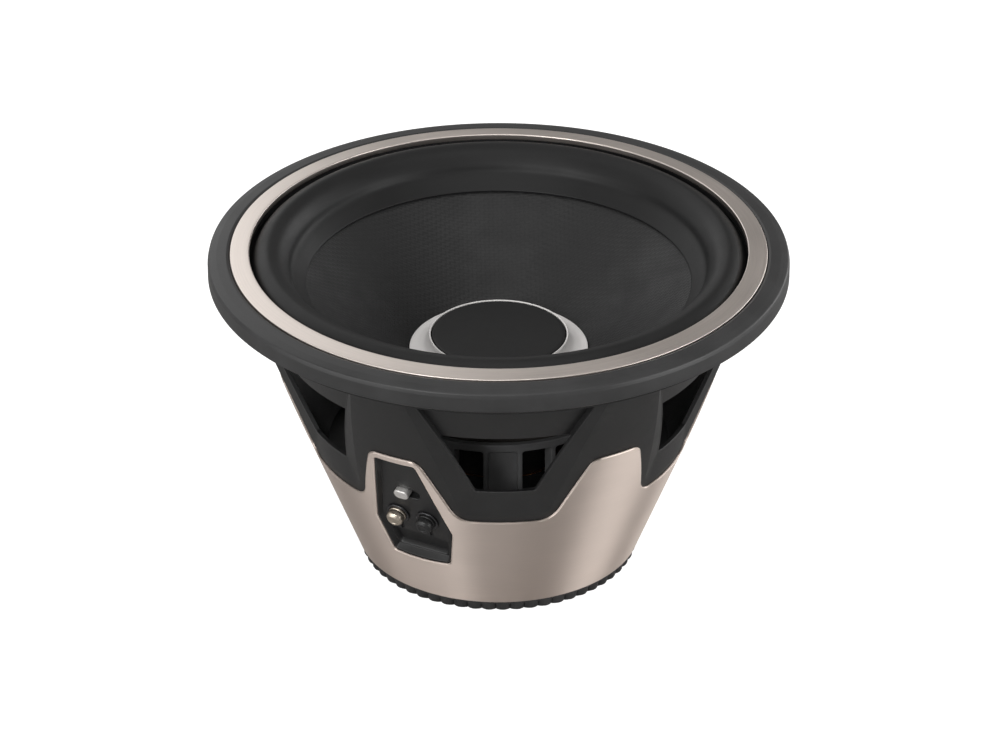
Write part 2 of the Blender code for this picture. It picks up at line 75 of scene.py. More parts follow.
SECTORS = 6  # windows, and the spokes between them
SECTOR = 360.0 / SECTORS
SECTOR_COLUMNS = COLUMNS // SECTORS
WELD = 0.008 * MM
BODIES = frame["record"]["behaviour"]["bodies"]
BODY_OF = {node: body for body, nodes in BODIES.items() for node in nodes}


def span(node):
    """Lowest and highest corner of a CAD node, in millimetres."""
    low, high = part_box(node)
    return low / MM, high / MM


# ---- driving sizes, from the frame
SKIRT_LOW, SKIRT_HIGH = span("skirt")
BASKET_LOW, BASKET_HIGH = span("basket")
TRIM_LOW, TRIM_HIGH = span("trim_ring")
ACCENT_LOW, ACCENT_HIGH = span("accent_ring")
GASKET_LOW, GASKET_HIGH = span("baffle_gasket")
CONE_LOW, CONE_HIGH = span("cone")
FLARE_LOW, FLARE_HIGH = span("dust_cap_flare")
DISC_LOW, DISC_HIGH = span("dust_cap_disc")
FORMER_LOW, FORMER_HIGH = span("coil_former")
COIL_LOW, COIL_HIGH = span("voice_coil")
COLLAR_LOW, COLLAR_HIGH = span("coil_collar")
SURROUND_LOW, SURROUND_HIGH = span("surround")
SPIDER_LOW, SPIDER_HIGH = span("spider")
SEAT_LOW, SEAT_HIGH = span("spider_seat")
BACK_LOW, BACK_HIGH = span("back_plate")
SCREEN_LOW, SCREEN_HIGH = span("vent_screen")
BASE_LOW, BASE_HIGH = span("base_ring")
SHORTING_LOW, SHORTING_HIGH = span("shorting_ring")
TOP_PLATE_LOW, TOP_PLATE_HIGH = span("top_plate")

BODY_FLARE = 0.3919  # radius gained per unit of height by the body cone
LEAN = math.atan(BODY_FLARE)
SKIRT_T = 1.2
SKIRT_INSET = SKIRT_T / math.cos(LEAN)
BASKET_INSET = SKIRT_T + 0.3
FLANGE_R = BASKET_HIGH.x
FLANGE_Z0, FLANGE_Z1 = BASKET_HIGH.z - 4.0, BASKET_HIGH.z
FLANGE_BORE_R = 139.5
WALL_T, LOWER_WALL_T = 6.0, 3.5
HOOP_T, HOOP_Z = 10.5, 139.5
FLOOR_Z0, FLOOR_Z1, FLOOR_BORE_R = 62.6, 68.6, 46.0
WALL_TOP_Z = 168.0
BEVEL_DEPTH, RECESS_DEPTH = 3.5, 8.0
SILL_OUT, HEAD_OUT = (12.9, 81.0), (24.6, 176.9)  # a window's half-width and height, at the surface
SILL_IN, HEAD_IN = (9.1, 97.7), (24.1, 176.9)  # and at its bevel's inner edge
LIP_AZ, LIP_Z = 0.5, 1.0  # the ledge between a bevel and its opening
BOLT_PCD_R, SCREW_PCD_R, FLANGE_PCD_R = 55.0, 70.0, 156.0

PANEL_AZ, PANEL_Z = -30.0, 76.0
PANEL_CORNERS = (
    (-18.2, -42.4), (18.2, -42.4), (24.4, -15.0), (13.0, 42.4), (-13.0, 42.4), (-24.4, -15.0)
)
PLATE_DEPTH, POCKET_DEPTH, CUP_DEPTH = 5.5, 8.5, 16.0
CAPS_X, CAP_Y, CAP_R = (-10.3, 8.3), -10.3, 5.2
SLOT_X, SLOT_Y, SLOT_LENGTH, SLOT_WIDTH = -0.5, 10.0, 15.5, 7.4
KNOB_LENGTH, KNOB_WIDTH = 9.0, 6.6


def body_r(z):
    """Radius of the body cone at a height."""
    return SKIRT_HIGH.x - BODY_FLARE * (SKIRT_HIGH.z - z)


def on_circle(r, az, z):
    turn = np.radians(az)
    return np.stack(np.broadcast_arrays(r * np.sin(turn), -r * np.cos(turn), z), -1).astype(float)


PANEL_MATRIX = (
    Matrix.Translation(Vector(on_circle(body_r(PANEL_Z), PANEL_AZ, PANEL_Z)))
    @ Matrix.Rotation(math.radians(PANEL_AZ), 4, "Z")
    @ Matrix.Rotation(math.pi / 2.0 + LEAN, 4, "X")
)


# ---- outlines and surfaces
def rounded(corners, arc=6, steps=10, closed=True):
    """An outline through corners (x, y, radius): arc + 1 points a corner, steps - 1 more a side."""
    count = len(corners)
    ends = []
    for i, (x, y, r) in enumerate(corners):
        p = np.array((x, y), float)
        if r == 0.0 or (not closed and i in (0, count - 1)):
            ends.append([p])
            continue
        a = np.array(corners[i - 1][:2], float) - p
        b = np.array(corners[(i + 1) % count][:2], float) - p
        la, lb = np.linalg.norm(a), np.linalg.norm(b)
        a, b = a / la, b / lb
        half = 0.5 * math.acos(max(-1.0, min(1.0, float(a @ b))))
        back = min(r / math.tan(half), 0.48 * la, 0.48 * lb)
        middle = a + b
        centre = p + middle / np.linalg.norm(middle) * back / math.cos(half)
        v0, v1 = p + a * back - centre, p + b * back - centre
        turn = math.pi - 2.0 * half
        shares = [(math.sin((1 - k / arc) * turn), math.sin(k / arc * turn)) for k in range(arc + 1)]
        ends.append([centre + (s0 * v0 + s1 * v1) / math.sin(turn) for s0, s1 in shares])
    points = []
    for i, here in enumerate(ends):
        points += here
        if closed or i < count - 1:
            after = ends[(i + 1) % count][0]
            points += [here[-1] + (after - here[-1]) * k / steps for k in range(1, steps)]
    return np.array(points)


def offset(loop, distance, closed=True):
    """The 2-D outline moved to its right-hand side: outwards, if it runs counter-clockwise."""
    before, after = np.roll(loop, 1, 0), np.roll(loop, -1, 0)
    if not closed:
        before[0], after[-1] = loop[0], loop[-1]
    along = after - before
    along /= np.linalg.norm(along, axis=1)[:, None]
    return loop + distance * np.stack([along[:, 1], -along[:, 0]], 1)


def within(points, loop):
    """Which of the 2-D points lie inside a closed outline."""
    x, y = points[:, :1], points[:, 1:2]
    x0, y0 = loop[:, 0], loop[:, 1]
    x1, y1 = np.roll(x0, -1), np.roll(y0, -1)
    crosses = (y0 > y) != (y1 > y)
    rise = np.where(y1 == y0, 1.0, y1 - y0)
    return (crosses & (x < x0 + (y - y0) * (x1 - x0) / rise)).sum(1) % 2 == 1


def fill(outline, holes=(), spacing=5.0):
    """2-D points and triangles of a flat region, with a grid of points inside so that it can be bent."""
    loops = [outline, *holes]
    edge_points = np.concatenate(loops)
    edges, start = [], 0
    for loop in loops:
        edges += [(start + k, start + (k + 1) % len(loop)) for k in range(len(loop))]
        start += len(loop)

    def inside(points):
        kept = within(points, outline)
        for hole in holes:
            kept &= ~within(points, hole)
        return kept

    low, high = outline.min(0), outline.max(0)
    lines = [np.arange(a + 0.5 * spacing, b, spacing) for a, b in zip(low, high)]
    grid = np.stack(np.meshgrid(*lines), -1).reshape(-1, 2)
    grid = grid[inside(grid)]
    if len(grid):
        nearest = np.full(len(grid), np.inf)
        for at in range(0, len(edge_points), 200):
            apart = grid[:, None] - edge_points[None, at : at + 200]
            nearest = np.minimum(nearest, np.linalg.norm(apart, axis=2).min(1))
        grid = grid[nearest > 0.45 * spacing]
    points = np.concatenate([edge_points, grid])
    made = delaunay_2d_cdt([Vector(p) for p in points], edges, [], 0, 1e-6)
    points = np.array([tuple(p) for p in made[0]])
    triangles = np.array([tuple(t) for t in made[2]])
    return points, triangles[inside(points[triangles].mean(1))]


def strip(*loops, closed=True):
    """Quads between outlines that have the same number of points."""
    size = len(loops[0])
    last = size if closed else size - 1
    faces = []
    for row in range(len(loops) - 1):
        for k in range(last):
            a, b = row * size + k, row * size + (k + 1) % size
            faces.append((a, b, b + size, a + size))
    return np.concatenate(loops), faces


def turned(loop, columns=COLUMNS, closed=True):
    """The surface an (r, z) outline sweeps round Z. An open one starts and ends on the axis."""
    az = 360.0 * np.arange(columns) / columns
    rings = [on_circle(r, az, z) for r, z in loop]
    return strip(*rings, rings[0]) if closed else strip(*rings)


def spun(patches, count, pitch):
    """Copies of the patches round Z."""
    made = []
    for i in range(count):
        turn = np.array(Matrix.Rotation(math.radians(i * pitch), 3, "Z"))
        made += [(points @ turn.T, faces) for points, faces in patches]
    return made


def flat(outline, holes, z, spacing=5.0):
    """A flat patch at a height."""
    points, faces = fill(outline, holes, spacing)
    return np.column_stack([points, np.full(len(points), z)]), faces


def at_height(outline, z):
    return np.column_stack([outline, np.broadcast_to(z, len(outline))])


def tube(outline, z0, z1):
    """The upright wall over an outline, between two heights."""
    return strip(at_height(outline, z0), at_height(outline, z1))


def row(x, height):
    """Points at x, all at one height."""
    return np.column_stack([x, np.full_like(x, height)])


def upright(x, heights):
    """Points at one x, at the heights."""
    return np.column_stack([np.full_like(heights, x), heights])


def ring_outline(r, columns=COLUMNS, x=0.0, y=0.0):
    az = 360.0 * np.arange(columns) / columns
    return on_circle(r, az, 0.0)[:, :2] + (x, y)


def hole_outlines(count, pitch_r, r, first_az):
    centres = [on_circle(pitch_r, first_az + 360.0 * i / count, 0.0)[:2] for i in range(count)]
    return [ring_outline(r, 24, x, y) for x, y in centres]


def curve(points, steps=4):
    """A smooth line through the points."""
    p = np.array([points[0], *points, points[-1]], float)
    line = []
    for i in range(1, len(p) - 2):
        for k in range(steps):
            t = k / steps
            a, b, c, d = p[i - 1], p[i], p[i + 1], p[i + 2]
            squared, cubed = 2 * a - 5 * b + 4 * c - d, 3 * b - a - 3 * c + d
            line.append(0.5 * (2 * b + (c - a) * t + squared * t * t + cubed * t**3))
    return np.array([*line, p[-1]])


def ribbon(line, thickness):
    """The closed outline round a centre line, with rounded ends."""
    line = np.asarray(line, float)
    along = np.gradient(line, axis=0)
    along /= np.linalg.norm(along, axis=1)[:, None]
    side = 0.5 * thickness * np.stack([-along[:, 1], along[:, 0]], 1)
    turns = np.radians((36.0, 72.0, 108.0, 144.0))
    far = [line[-1] + math.cos(t) * side[-1] + math.sin(t) * 0.5 * thickness * along[-1] for t in turns]
    near = [line[0] - math.cos(t) * side[0] - math.sin(t) * 0.5 * thickness * along[0] for t in turns]
    return np.concatenate([line + side, far, (line - side)[::-1], near])


# ---- materials
class Paint:
    """A material on the Principled shader, with object coordinates ready in metres."""

    def __init__(self, name, color, roughness, metallic=0.0, **sockets):
        self.material = bpy.data.materials.new(name)
        self.material.use_nodes = True
        self.tree = self.material.node_tree
        self.shader = self.tree.nodes["Principled BSDF"]
        self.color, self.roughness = color, roughness
        values = {"Base Color": (*color, 1.0), "Roughness": roughness, "Metallic": metallic, **sockets}
        for socket, value in values.items():
            self.shader.inputs[socket].default_value = value
        self.place = self.add("ShaderNodeTexCoord").outputs["Object"]
        self.height = None

    def add(self, kind, inputs=None, **settings):
        node = self.tree.nodes.new(kind)
        for key, value in settings.items():
            setattr(node, key, value)
        for key, value in (inputs or {}).items():
            if isinstance(value, bpy.types.NodeSocket):
                self.tree.links.new(value, node.inputs[key])
            else:
                node.inputs[key].default_value = value
        return node

    def math(self, operation, a, b=0.0):
        return self.add("ShaderNodeMath", {0: a, 1: b}, operation=operation).outputs[0]

    def noise(self, scale, detail=3.0, where=None, roughness=0.55):
        inputs = {"Vector": where or self.place, "Scale": scale, "Detail": detail, "Roughness": roughness}
        return self.add("ShaderNodeTexNoise", inputs).outputs["Fac"]

    def ranged(self, value, low, high):
        inputs = {"Value": value, "From Min": 0.3, "From Max": 0.7, "To Min": low, "To Max": high}
        return self.add("ShaderNodeMapRange", inputs).outputs["Result"]

    def around(self):
        """The direction from the axis as (x / r, y / r), the height and the radius."""
        split = self.add("ShaderNodeSeparateXYZ", {0: self.place})
        x, y, z = split.outputs
        r = self.math("SQRT", self.math("ADD", self.math("MULTIPLY", x, x), self.math("MULTIPLY", y, y)))
        return self.math("DIVIDE", x, r), self.math("DIVIDE", y, r), z, r

    def scaled(self, x, y, z, scales):
        parts = [self.math("MULTIPLY", part, scale) for part, scale in zip((x, y, z), scales)]
        return self.add("ShaderNodeCombineXYZ", dict(enumerate(parts))).outputs[0]

    def tint(self, share, low, high):
        """Base colour times a factor that runs from low to high with share."""
        dark, light = [c * low for c in self.color], [min(1.0, c * high) for c in self.color]
        colors = {6: (*dark, 1.0), 7: (*light, 1.0), 0: share}
        mixed = self.add("ShaderNodeMix", colors, data_type="RGBA")
        self.tree.links.new(mixed.outputs[2], self.shader.inputs["Base Color"])
        return self

    def gloss(self, share, low, high):
        self.tree.links.new(self.ranged(share, low, high), self.shader.inputs["Roughness"])
        return self

    def bump(self, height, depth):
        """Raises the surface by depth millimetres where the height is 1."""
        inputs = {"Height": height, "Distance": depth * MM, "Strength": 1.0}
        if self.height is not None:
            inputs["Normal"] = self.height
        self.height = self.add("ShaderNodeBump", inputs).outputs["Normal"]
        self.tree.links.new(self.height, self.shader.inputs["Normal"])
        return self


def grained(name, color, roughness, grain, depth, metallic=0.0, swing=0.2, spread=0.08, **sockets):
    """A fine moulded, cast or coated surface. grain is the texture's scale per metre."""
    paint = Paint(name, color, roughness, metallic, **sockets)
    fine, broad = paint.noise(grain, 3.0), paint.noise(35.0, 4.0)
    paint.tint(paint.ranged(broad, 0.0, 1.0), 1.0 - swing, 1.0 + swing)
    mixed = paint.math("ADD", paint.math("MULTIPLY", fine, 0.4), paint.math("MULTIPLY", broad, 0.6))
    paint.gloss(mixed, roughness - spread, roughness + spread)
    return paint.bump(fine, depth)


def brushed(name, color, roughness, lines, depth, anisotropy=0.0, swing=0.08, spread=0.07):
    """Metal brushed round its axis. lines is the texture's scale along Z per metre."""
    quarter = 0.25  # the shine spreads across the brushing, so it is turned from the tangent round the axis
    paint = Paint(name, color, roughness, 1.0, **{"Anisotropic": anisotropy, "Anisotropic Rotation": quarter})
    x, y, z, r = paint.around()
    across = paint.math("ADD", z, paint.math("MULTIPLY", r, 0.7))
    fine = paint.noise(1.0, 4.0, paint.scaled(x, y, across, (3.0, 3.0, lines)), 0.7)
    broad = paint.noise(1.0, 3.0, paint.scaled(x, y, across, (2.2, 2.2, 60.0)))
    both = paint.math("ADD", paint.math("MULTIPLY", fine, 0.65), paint.math("MULTIPLY", broad, 0.35))
    paint.tint(paint.ranged(both, 0.0, 1.0), 1.0 - swing, 1.0 + swing)
    paint.gloss(both, roughness - spread, roughness + spread)
    if anisotropy:
        tangent = paint.add("ShaderNodeTangent", direction_type="RADIAL", axis="Z")
        paint.tree.links.new(tangent.outputs[0], paint.shader.inputs["Tangent"])
    return paint.bump(fine, depth)


def woven(name, color, roughness, pitch, depth, across=1.0):
    """Plain weave: threads a pitch in metres apart along Y, and across times that along X."""
    paint = Paint(name, color, roughness)
    split = paint.add("ShaderNodeSeparateXYZ", {0: paint.place})
    ridges, cells = [], []
    for axis, step in ((0, pitch * across), (1, pitch)):
        at = paint.math("DIVIDE", split.outputs[axis], step)
        ridges.append(paint.math("ABSOLUTE", paint.math("SINE", paint.math("MULTIPLY", at, math.pi))))
        cells.append(paint.math("FLOOR", at))
    odd = paint.math("FLOORED_MODULO", paint.math("ADD", *cells), 2.0)
    mixed = paint.add("ShaderNodeMix", {0: odd, 2: ridges[1], 3: paint.math("MULTIPLY", ridges[0], 0.75)})
    height = mixed.outputs[0]
    broad = paint.noise(60.0, 3.0)
    share = paint.math("ADD", paint.math("MULTIPLY", height, 0.7), paint.math("MULTIPLY", broad, 0.3))
    paint.tint(share, 0.65, 1.35)
    paint.gloss(broad, roughness - 0.08, roughness + 0.08)
    paint.bump(height, depth)
    return paint.bump(paint.noise(4000.0, 2.0), 0.02)


def wound(name, color, roughness, turns, depth):
    """Wire wound round Z, with a number of turns per metre."""
    paint = Paint(name, color, roughness, 1.0)
    z = paint.add("ShaderNodeSeparateXYZ", {0: paint.place}).outputs[2]
    at = paint.math("MULTIPLY", z, turns)
    ridge = paint.math("ABSOLUTE", paint.math("SINE", paint.math("MULTIPLY", at, math.pi)))
    broad = paint.noise(120.0)
    paint.tint(ridge, 0.55, 1.1)
    paint.gloss(broad, roughness - 0.08, roughness + 0.08)
    return paint.bump(ridge, depth)


def braided(name, color, roughness, scale, depth):
    """Braided wire: two crossing sets of slanting strands."""
    paint = Paint(name, color, roughness, 1.0)
    x, y, z = paint.add("ShaderNodeSeparateXYZ", {0: paint.place}).outputs
    waves = []
    for sign in (1.0, -1.0):
        level = paint.math("MULTIPLY", paint.math("ADD", x, y), scale)
        at = paint.math("ADD", level, paint.math("MULTIPLY", z, sign * scale))
        waves.append(paint.math("ABSOLUTE", paint.math("SINE", at)))
    height = paint.math("MAXIMUM", *waves)
    paint.tint(height, 0.4, 1.1)
    paint.gloss(paint.noise(400.0), roughness - 0.05, roughness + 0.08)
    return paint.bump(height, depth)


BASKET_BLACK = grained("basket_black", (0.014, 0.014, 0.0143), 0.46, 1400.0, 0.035)
# The riser is the same black plastic as the basket, painted much lighter: painted light, standing in for the
# light that hardly reaches it inside the basket.
RISER_PAINTED_LIGHT = grained("riser_painted_light", (0.12, 0.12, 0.121), 0.42, 1400.0, 0.03)
SKIRT_METAL = brushed("skirt_metal", (0.72, 0.625, 0.565), 0.48, 3000.0, 0.003, 0.9, 0.04, 0.03)
ACCENT_METAL = brushed("accent_metal", (0.82, 0.745, 0.69), 0.36, 2200.0, 0.003)
TRIM_RUBBER = grained("trim_rubber", (0.029, 0.029, 0.0295), 0.45, 2200.0, 0.015)
DULL = {"Specular IOR Level": 0.36}
SURROUND_RUBBER = grained("surround_rubber", (0.007, 0.007, 0.0072), 0.5, 1800.0, 0.02, **DULL)
FOAM = grained("foam", (0.012, 0.012, 0.012), 0.92, 900.0, 0.25, 0.0, 0.4)
CONE_WEAVE = woven("cone_weave", (0.010, 0.010, 0.0103), 0.5, 0.0016, 0.11, 1.6)
CAP_METAL = brushed("cap_metal", (0.88, 0.86, 0.84), 0.55, 2400.0, 0.001, 0.0, 0.03, 0.02)
DISC_BLACK = grained("disc_black", (0.007, 0.007, 0.0071), 0.6, 2600.0, 0.01)
FLARE_METAL = grained("flare_metal", (0.95, 0.925, 0.905), 0.42, 2400.0, 0.002, 0.0, 0.03, 0.03)
BLACK_PLASTIC = grained("black_plastic", (0.014, 0.014, 0.0143), 0.44, 2600.0, 0.014)
STEEL = grained("black_steel", (0.09, 0.09, 0.095), 0.38, 1700.0, 0.008, 1.0)
PLATE_STEEL = brushed("plate_steel", (0.3, 0.3, 0.31), 0.36, 900.0, 0.01)
FERRITE = grained("ferrite", (0.045, 0.045, 0.048), 0.62, 1100.0, 0.05)
ALUMINIUM = brushed("bare_aluminium", (0.78, 0.78, 0.79), 0.3, 1800.0, 0.01)
FORMER_FILM = grained("former_film", (0.014, 0.014, 0.014), 0.4, 500.0, 0.01)
COPPER = wound("copper", (0.72, 0.33, 0.15), 0.3, 1800.0, 0.12)
SPIDER_CLOTH = woven("spider_cloth", (0.04, 0.034, 0.028), 0.85, 0.0009, 0.12)
GOLD_PLATE = brushed("gold_plate", (0.62, 0.55, 0.46), 0.34, 1500.0, 0.004)
BRAID = braided("braid", (0.62, 0.57, 0.5), 0.35, 5200.0, 0.15)


# ---- pieces
def add_object(name, data):
    obj = bpy.data.objects.new(name, data)
    bpy.context.scene.collection.objects.link(obj)
    return obj


def shape(name, patches, paint, sharp=33.0):
    """An object whose patches are welded into one closed surface that faces out."""
    points, faces, first = [], [], 0
    for patch_points, patch_faces in patches:
        points.append(patch_points)
        faces += [tuple(int(i) + first for i in face) for face in patch_faces]
        first += len(patch_points)
    mesh = bpy.data.meshes.new(name)
    mesh.from_pydata((np.concatenate(points) * MM).tolist(), [], faces)
    work = bmesh.new()
    work.from_mesh(mesh)
    bmesh.ops.remove_doubles(work, verts=work.verts, dist=WELD)
    bmesh.ops.recalc_face_normals(work, faces=work.faces)
    work.to_mesh(mesh)
    work.free()
    obj = add_object(name, mesh)
    finish_shading(obj, paint, sharp)
    return obj


def finish_shading(obj, paint, sharp):
    mesh = obj.data
    mesh.materials.clear()
    mesh.materials.append(paint.material)
    mesh.polygons.foreach_set("use_smooth", [True] * len(mesh.polygons))
    mesh.set_sharp_from_angle(angle=math.radians(sharp))


def cut(obj, cutters, paint, sharp=33.0):
    """Cuts the closed shapes from obj and leaves a plain mesh."""
    for cutter in cutters:
        boolean = obj.modifiers.new("cut", "BOOLEAN")
        boolean.operation = "DIFFERENCE"
        boolean.solver = "EXACT"
        boolean.object = cutter
    bpy.context.view_layer.update()
    graph = bpy.context.evaluated_depsgraph_get()
    made = bpy.data.meshes.new_from_object(obj.evaluated_get(graph))
    obj.modifiers.clear()
    obj.data = made
    for cutter in cutters:
        bpy.data.objects.remove(cutter)
    finish_shading(obj, paint, sharp)


def piece(obj, slot, *nodes):
    """Rides on the CAD nodes' own body, and stands for them."""
    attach(obj, BODY_OF[nodes[0]])
    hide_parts(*nodes)


def lathe(name, outline, paint, slot, node, columns=COLUMNS):
    """A piece turned from a closed (r, z) outline."""
    piece(shape(name, [turned(outline, columns)], paint), slot, node)


def flexing(obj, still, moving, az, node):
    """Bakes the object's transform into its points and hides the CAD node. The (r, z) of still and moving give
    start and end points that are not used: nothing follows the frame or the cone, and nothing bends.
    """
    start, end = [on_circle(r * MM, az, z * MM) for r, z in (still, moving)]
    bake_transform(obj)
    place = np.zeros(3 * len(obj.data.vertices))
    obj.data.vertices.foreach_get("co", place)
    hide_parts(node)


# ---- rim
def rim():
    lip_r = ACCENT_HIGH.x + 0.6
    trim = [
        (143.0, 190.2, 0.3), (lip_r, 190.2, 0.15), (lip_r, 191.7, 0.3), (154.4, TRIM_HIGH.z, 1.2),
        (160.0, 191.4, 6.0), (TRIM_HIGH.x - 0.6, 190.1, 1.3), (TRIM_HIGH.x, 187.6, 1.6),
        (TRIM_HIGH.x, TRIM_LOW.z, 0.7), (FLANGE_R + 0.6, TRIM_LOW.z, 0.4),
        (FLANGE_R + 0.6, FLANGE_Z1 + 0.3, 0.3), (152.0, FLANGE_Z1 + 0.3, 0.3), (152.0, 184.6, 0.3),
        (143.0, 184.6, 0.5),
    ]
    lathe("trim", rounded(trim, 5, 3), TRIM_RUBBER, "trim_rubber", "trim_ring")
    accent_bore = -ACCENT_LOW.x - 10.9
    accent = [
        (accent_bore, ACCENT_LOW.z, 0.2), (accent_bore, ACCENT_HIGH.z - 0.1, 0.55),
        (ACCENT_HIGH.x, ACCENT_HIGH.z - 1.45, 0.45), (ACCENT_HIGH.x, ACCENT_LOW.z, 0.2),
    ]
    lathe("accent", rounded(accent, 5, 4), ACCENT_METAL, "accent_metal", "accent_ring")
    gasket = [
        (148.0, GASKET_HIGH.z, 0.5), (160.0, GASKET_HIGH.z, 0.5), (160.0, GASKET_LOW.z, 0.8),
        (148.0, GASKET_LOW.z, 0.8),
    ]
    lathe("gasket", rounded(gasket, 3, 2), FOAM, "foam", "baffle_gasket")


# ---- basket
AZ_SCALE = 2.0  # millimetres of a patch's flat layout per degree round the body


def window(share):
    """A window's outline in the flat layout, from the wall's surface at 0 to the bevel's inner edge at 1."""

    def between(a, b):
        return a + (b - a) * share

    low = between(SILL_OUT[0], SILL_IN[0]) * AZ_SCALE
    high = between(HEAD_OUT[0], HEAD_IN[0]) * AZ_SCALE
    sill, head = between(SILL_OUT[1], SILL_IN[1]), HEAD_IN[1]
    low_r = between(8.0, 2.0)
    corners = [(-low, sill, low_r), (low, sill, low_r), (high, head, 1.5), (-high, head, 1.5)]
    return rounded(corners, 8, 14)


def opening(grow):
    """The opening's outline in the flat layout, with a point on each side at the hoop's underside."""
    low, high = SILL_IN[0] - LIP_AZ, HEAD_IN[0] - LIP_AZ
    sill, head = SILL_IN[1] + LIP_Z, HEAD_IN[1] - LIP_Z
    at_hoop = low + (high - low) * (HOOP_Z - sill) / (head - sill)
    low, high, at_hoop = low * AZ_SCALE, high * AZ_SCALE, at_hoop * AZ_SCALE
    right = [(low, sill, 1.8), (at_hoop, HOOP_Z, 0.0), (high, head, 1.5)]
    corners = [(-low, sill, 1.8), *right, *[(-x, z, r) for x, z, r in right[:0:-1]]]
    loop = rounded(corners, 6, 10)
    return offset(loop, grow) if grow else loop


def on_wall(flat_points, depth):
    """Points of the flat layout, set a depth into the basket's wall."""
    az, z = flat_points[:, 0] / AZ_SCALE, flat_points[:, 1]
    return on_circle(body_r(z) - BASKET_INSET - depth, az, z)


def sector_outline(z0, z1, count):
    """A 60-degree strip of the flat layout, with even points along its sides."""
    half = 0.5 * SECTOR * AZ_SCALE
    x = np.linspace(-half, half, SECTOR_COLUMNS + 1)
    z = np.linspace(z0, z1, count + 1)[1:-1]
    return np.concatenate([row(x, z0), upright(half, z), row(x[::-1], z1), upright(-half, z[::-1])])


def wall_patch(outline, holes, depth, spacing=5.0):
    points, faces = fill(outline, holes, spacing)
    return on_wall(points, depth), faces


def basket():
    def outer(z):
        return body_r(z) - BASKET_INSET

    bevel = [(-0.06, 0.0), (-0.02, 0.04), (0.02, 0.15), (0.07, 0.3)]
    bevel += [(0.3, 1.05), (0.6, 2.1), (0.9, 3.15), (1.0, BEVEL_DEPTH)]
    hole = opening(0.0)
    right, left = np.flatnonzero(np.abs(hole[:, 1] - HOOP_Z) < 1e-6)
    upper, lower = hole[right : left + 1], np.concatenate([hole[left:], hole[: right + 1]])
    half = 0.5 * SECTOR * AZ_SCALE
    beside = np.linspace(hole[right, 0], half, 10)
    across = np.linspace(hole[right, 0], -hole[right, 0], 16)[1:-1]
    even = np.linspace(half, -half, SECTOR_COLUMNS + 1)
    side = np.linspace(FLOOR_Z1, HOOP_Z, 21)[1:-1]

    inner_wall = [
        row(even[::-1], FLOOR_Z1),
        upright(half, side),
        row(beside[::-1], HOOP_Z),
        lower[-2:0:-1],
        row(-beside, HOOP_Z),
        upright(-half, side[::-1]),
    ]
    floor_edge = np.concatenate([hole[left, :1], across[::-1], hole[right, :1]])
    under_hoop = [row(even, HOOP_T), row(-beside[::-1], WALL_T)]
    under_hoop += [row(floor_edge, RECESS_DEPTH), row(beside, WALL_T)]
    flat_hoop, hoop_faces = fill(np.concatenate(under_hoop), [], 3.0)
    lip = ((0.3, BEVEL_DEPTH), (0.0, BEVEL_DEPTH + 0.3), (0.0, WALL_T))
    recess = np.concatenate([upper, row(across[::-1], HOOP_Z)])
    sector = [
        wall_patch(sector_outline(BASKET_LOW.z + 0.5, FLANGE_Z0, 30), [window(bevel[0][0])], 0.0, 4.0),
        strip(*[on_wall(window(share), depth) for share, depth in bevel]),
        wall_patch(window(1.0), [opening(0.3)], BEVEL_DEPTH),
        strip(*[on_wall(opening(grow), depth) for grow, depth in lip]),
        strip(on_wall(upper, WALL_T), on_wall(upper, RECESS_DEPTH), closed=False),
        wall_patch(recess, [], RECESS_DEPTH),
        wall_patch(np.concatenate(inner_wall), [], WALL_T),
        (on_circle(outer(HOOP_Z) - flat_hoop[:, 1], flat_hoop[:, 0] / AZ_SCALE, HOOP_Z), hoop_faces),
    ]
    patches = spun(sector, SECTORS, SECTOR)
    az = 1.5 * np.arange(COLUMNS) - 30.0

    def rows(*profile):
        patches.append(strip(*[on_circle(r, az, z) for r, z in profile]))

    def plate(r_out, r_in, z, count, pitch_r, r, first_az):
        holes = [on_circle(r_in, az, 0.0)[:, :2]] + hole_outlines(count, pitch_r, r, first_az)
        patches.append(flat(on_circle(r_out, az, 0.0)[:, :2], holes, z))

    flange = (8, FLANGE_PCD_R, 2.75, 22.5)
    rows(
        (outer(HOOP_Z) - HOOP_T, HOOP_Z), (outer(WALL_TOP_Z) - HOOP_T, WALL_TOP_Z), (136.5, 174.0),
        (FLANGE_BORE_R - 0.3, 181.0), (FLANGE_BORE_R, FLANGE_Z1),
    )
    edge = 0.4
    eased_r = FLANGE_R - edge
    plate(eased_r, FLANGE_BORE_R, FLANGE_Z1, *flange)
    side = (FLANGE_R, FLANGE_Z1 - edge), (FLANGE_R, FLANGE_Z0 + edge)
    rows((eased_r, FLANGE_Z1), *side, (eased_r, FLANGE_Z0))
    plate(eased_r, outer(FLANGE_Z0), FLANGE_Z0, *flange)
    patches += [tube(hole, FLANGE_Z0, FLANGE_Z1) for hole in hole_outlines(*flange)]
    rows(
        (outer(BASKET_LOW.z + 0.5), BASKET_LOW.z + 0.5), (outer(BASKET_LOW.z) - 0.5, BASKET_LOW.z),
        (outer(BASKET_LOW.z) - LOWER_WALL_T, BASKET_LOW.z),
        (outer(FLOOR_Z0) - LOWER_WALL_T, FLOOR_Z0),
    )
    bolts = (6, BOLT_PCD_R, 2.8, 30.0)
    plate(outer(FLOOR_Z0) - LOWER_WALL_T, FLOOR_BORE_R, FLOOR_Z0, *bolts)
    rows((FLOOR_BORE_R, FLOOR_Z0), (FLOOR_BORE_R, FLOOR_Z1))
    plate(outer(FLOOR_Z1) - WALL_T, FLOOR_BORE_R, FLOOR_Z1, *bolts)
    patches += [tube(hole, FLOOR_Z0, FLOOR_Z1) for hole in hole_outlines(*bolts)]
    made = shape("basket_frame", patches, BASKET_BLACK)
    space = on_panel(shape("cup_space", prism(panel_outline(0.3), -CUP_DEPTH - 0.6, 20.0), BASKET_BLACK))
    cut(made, [space], BASKET_BLACK)
    piece(made, "basket_black", "basket")


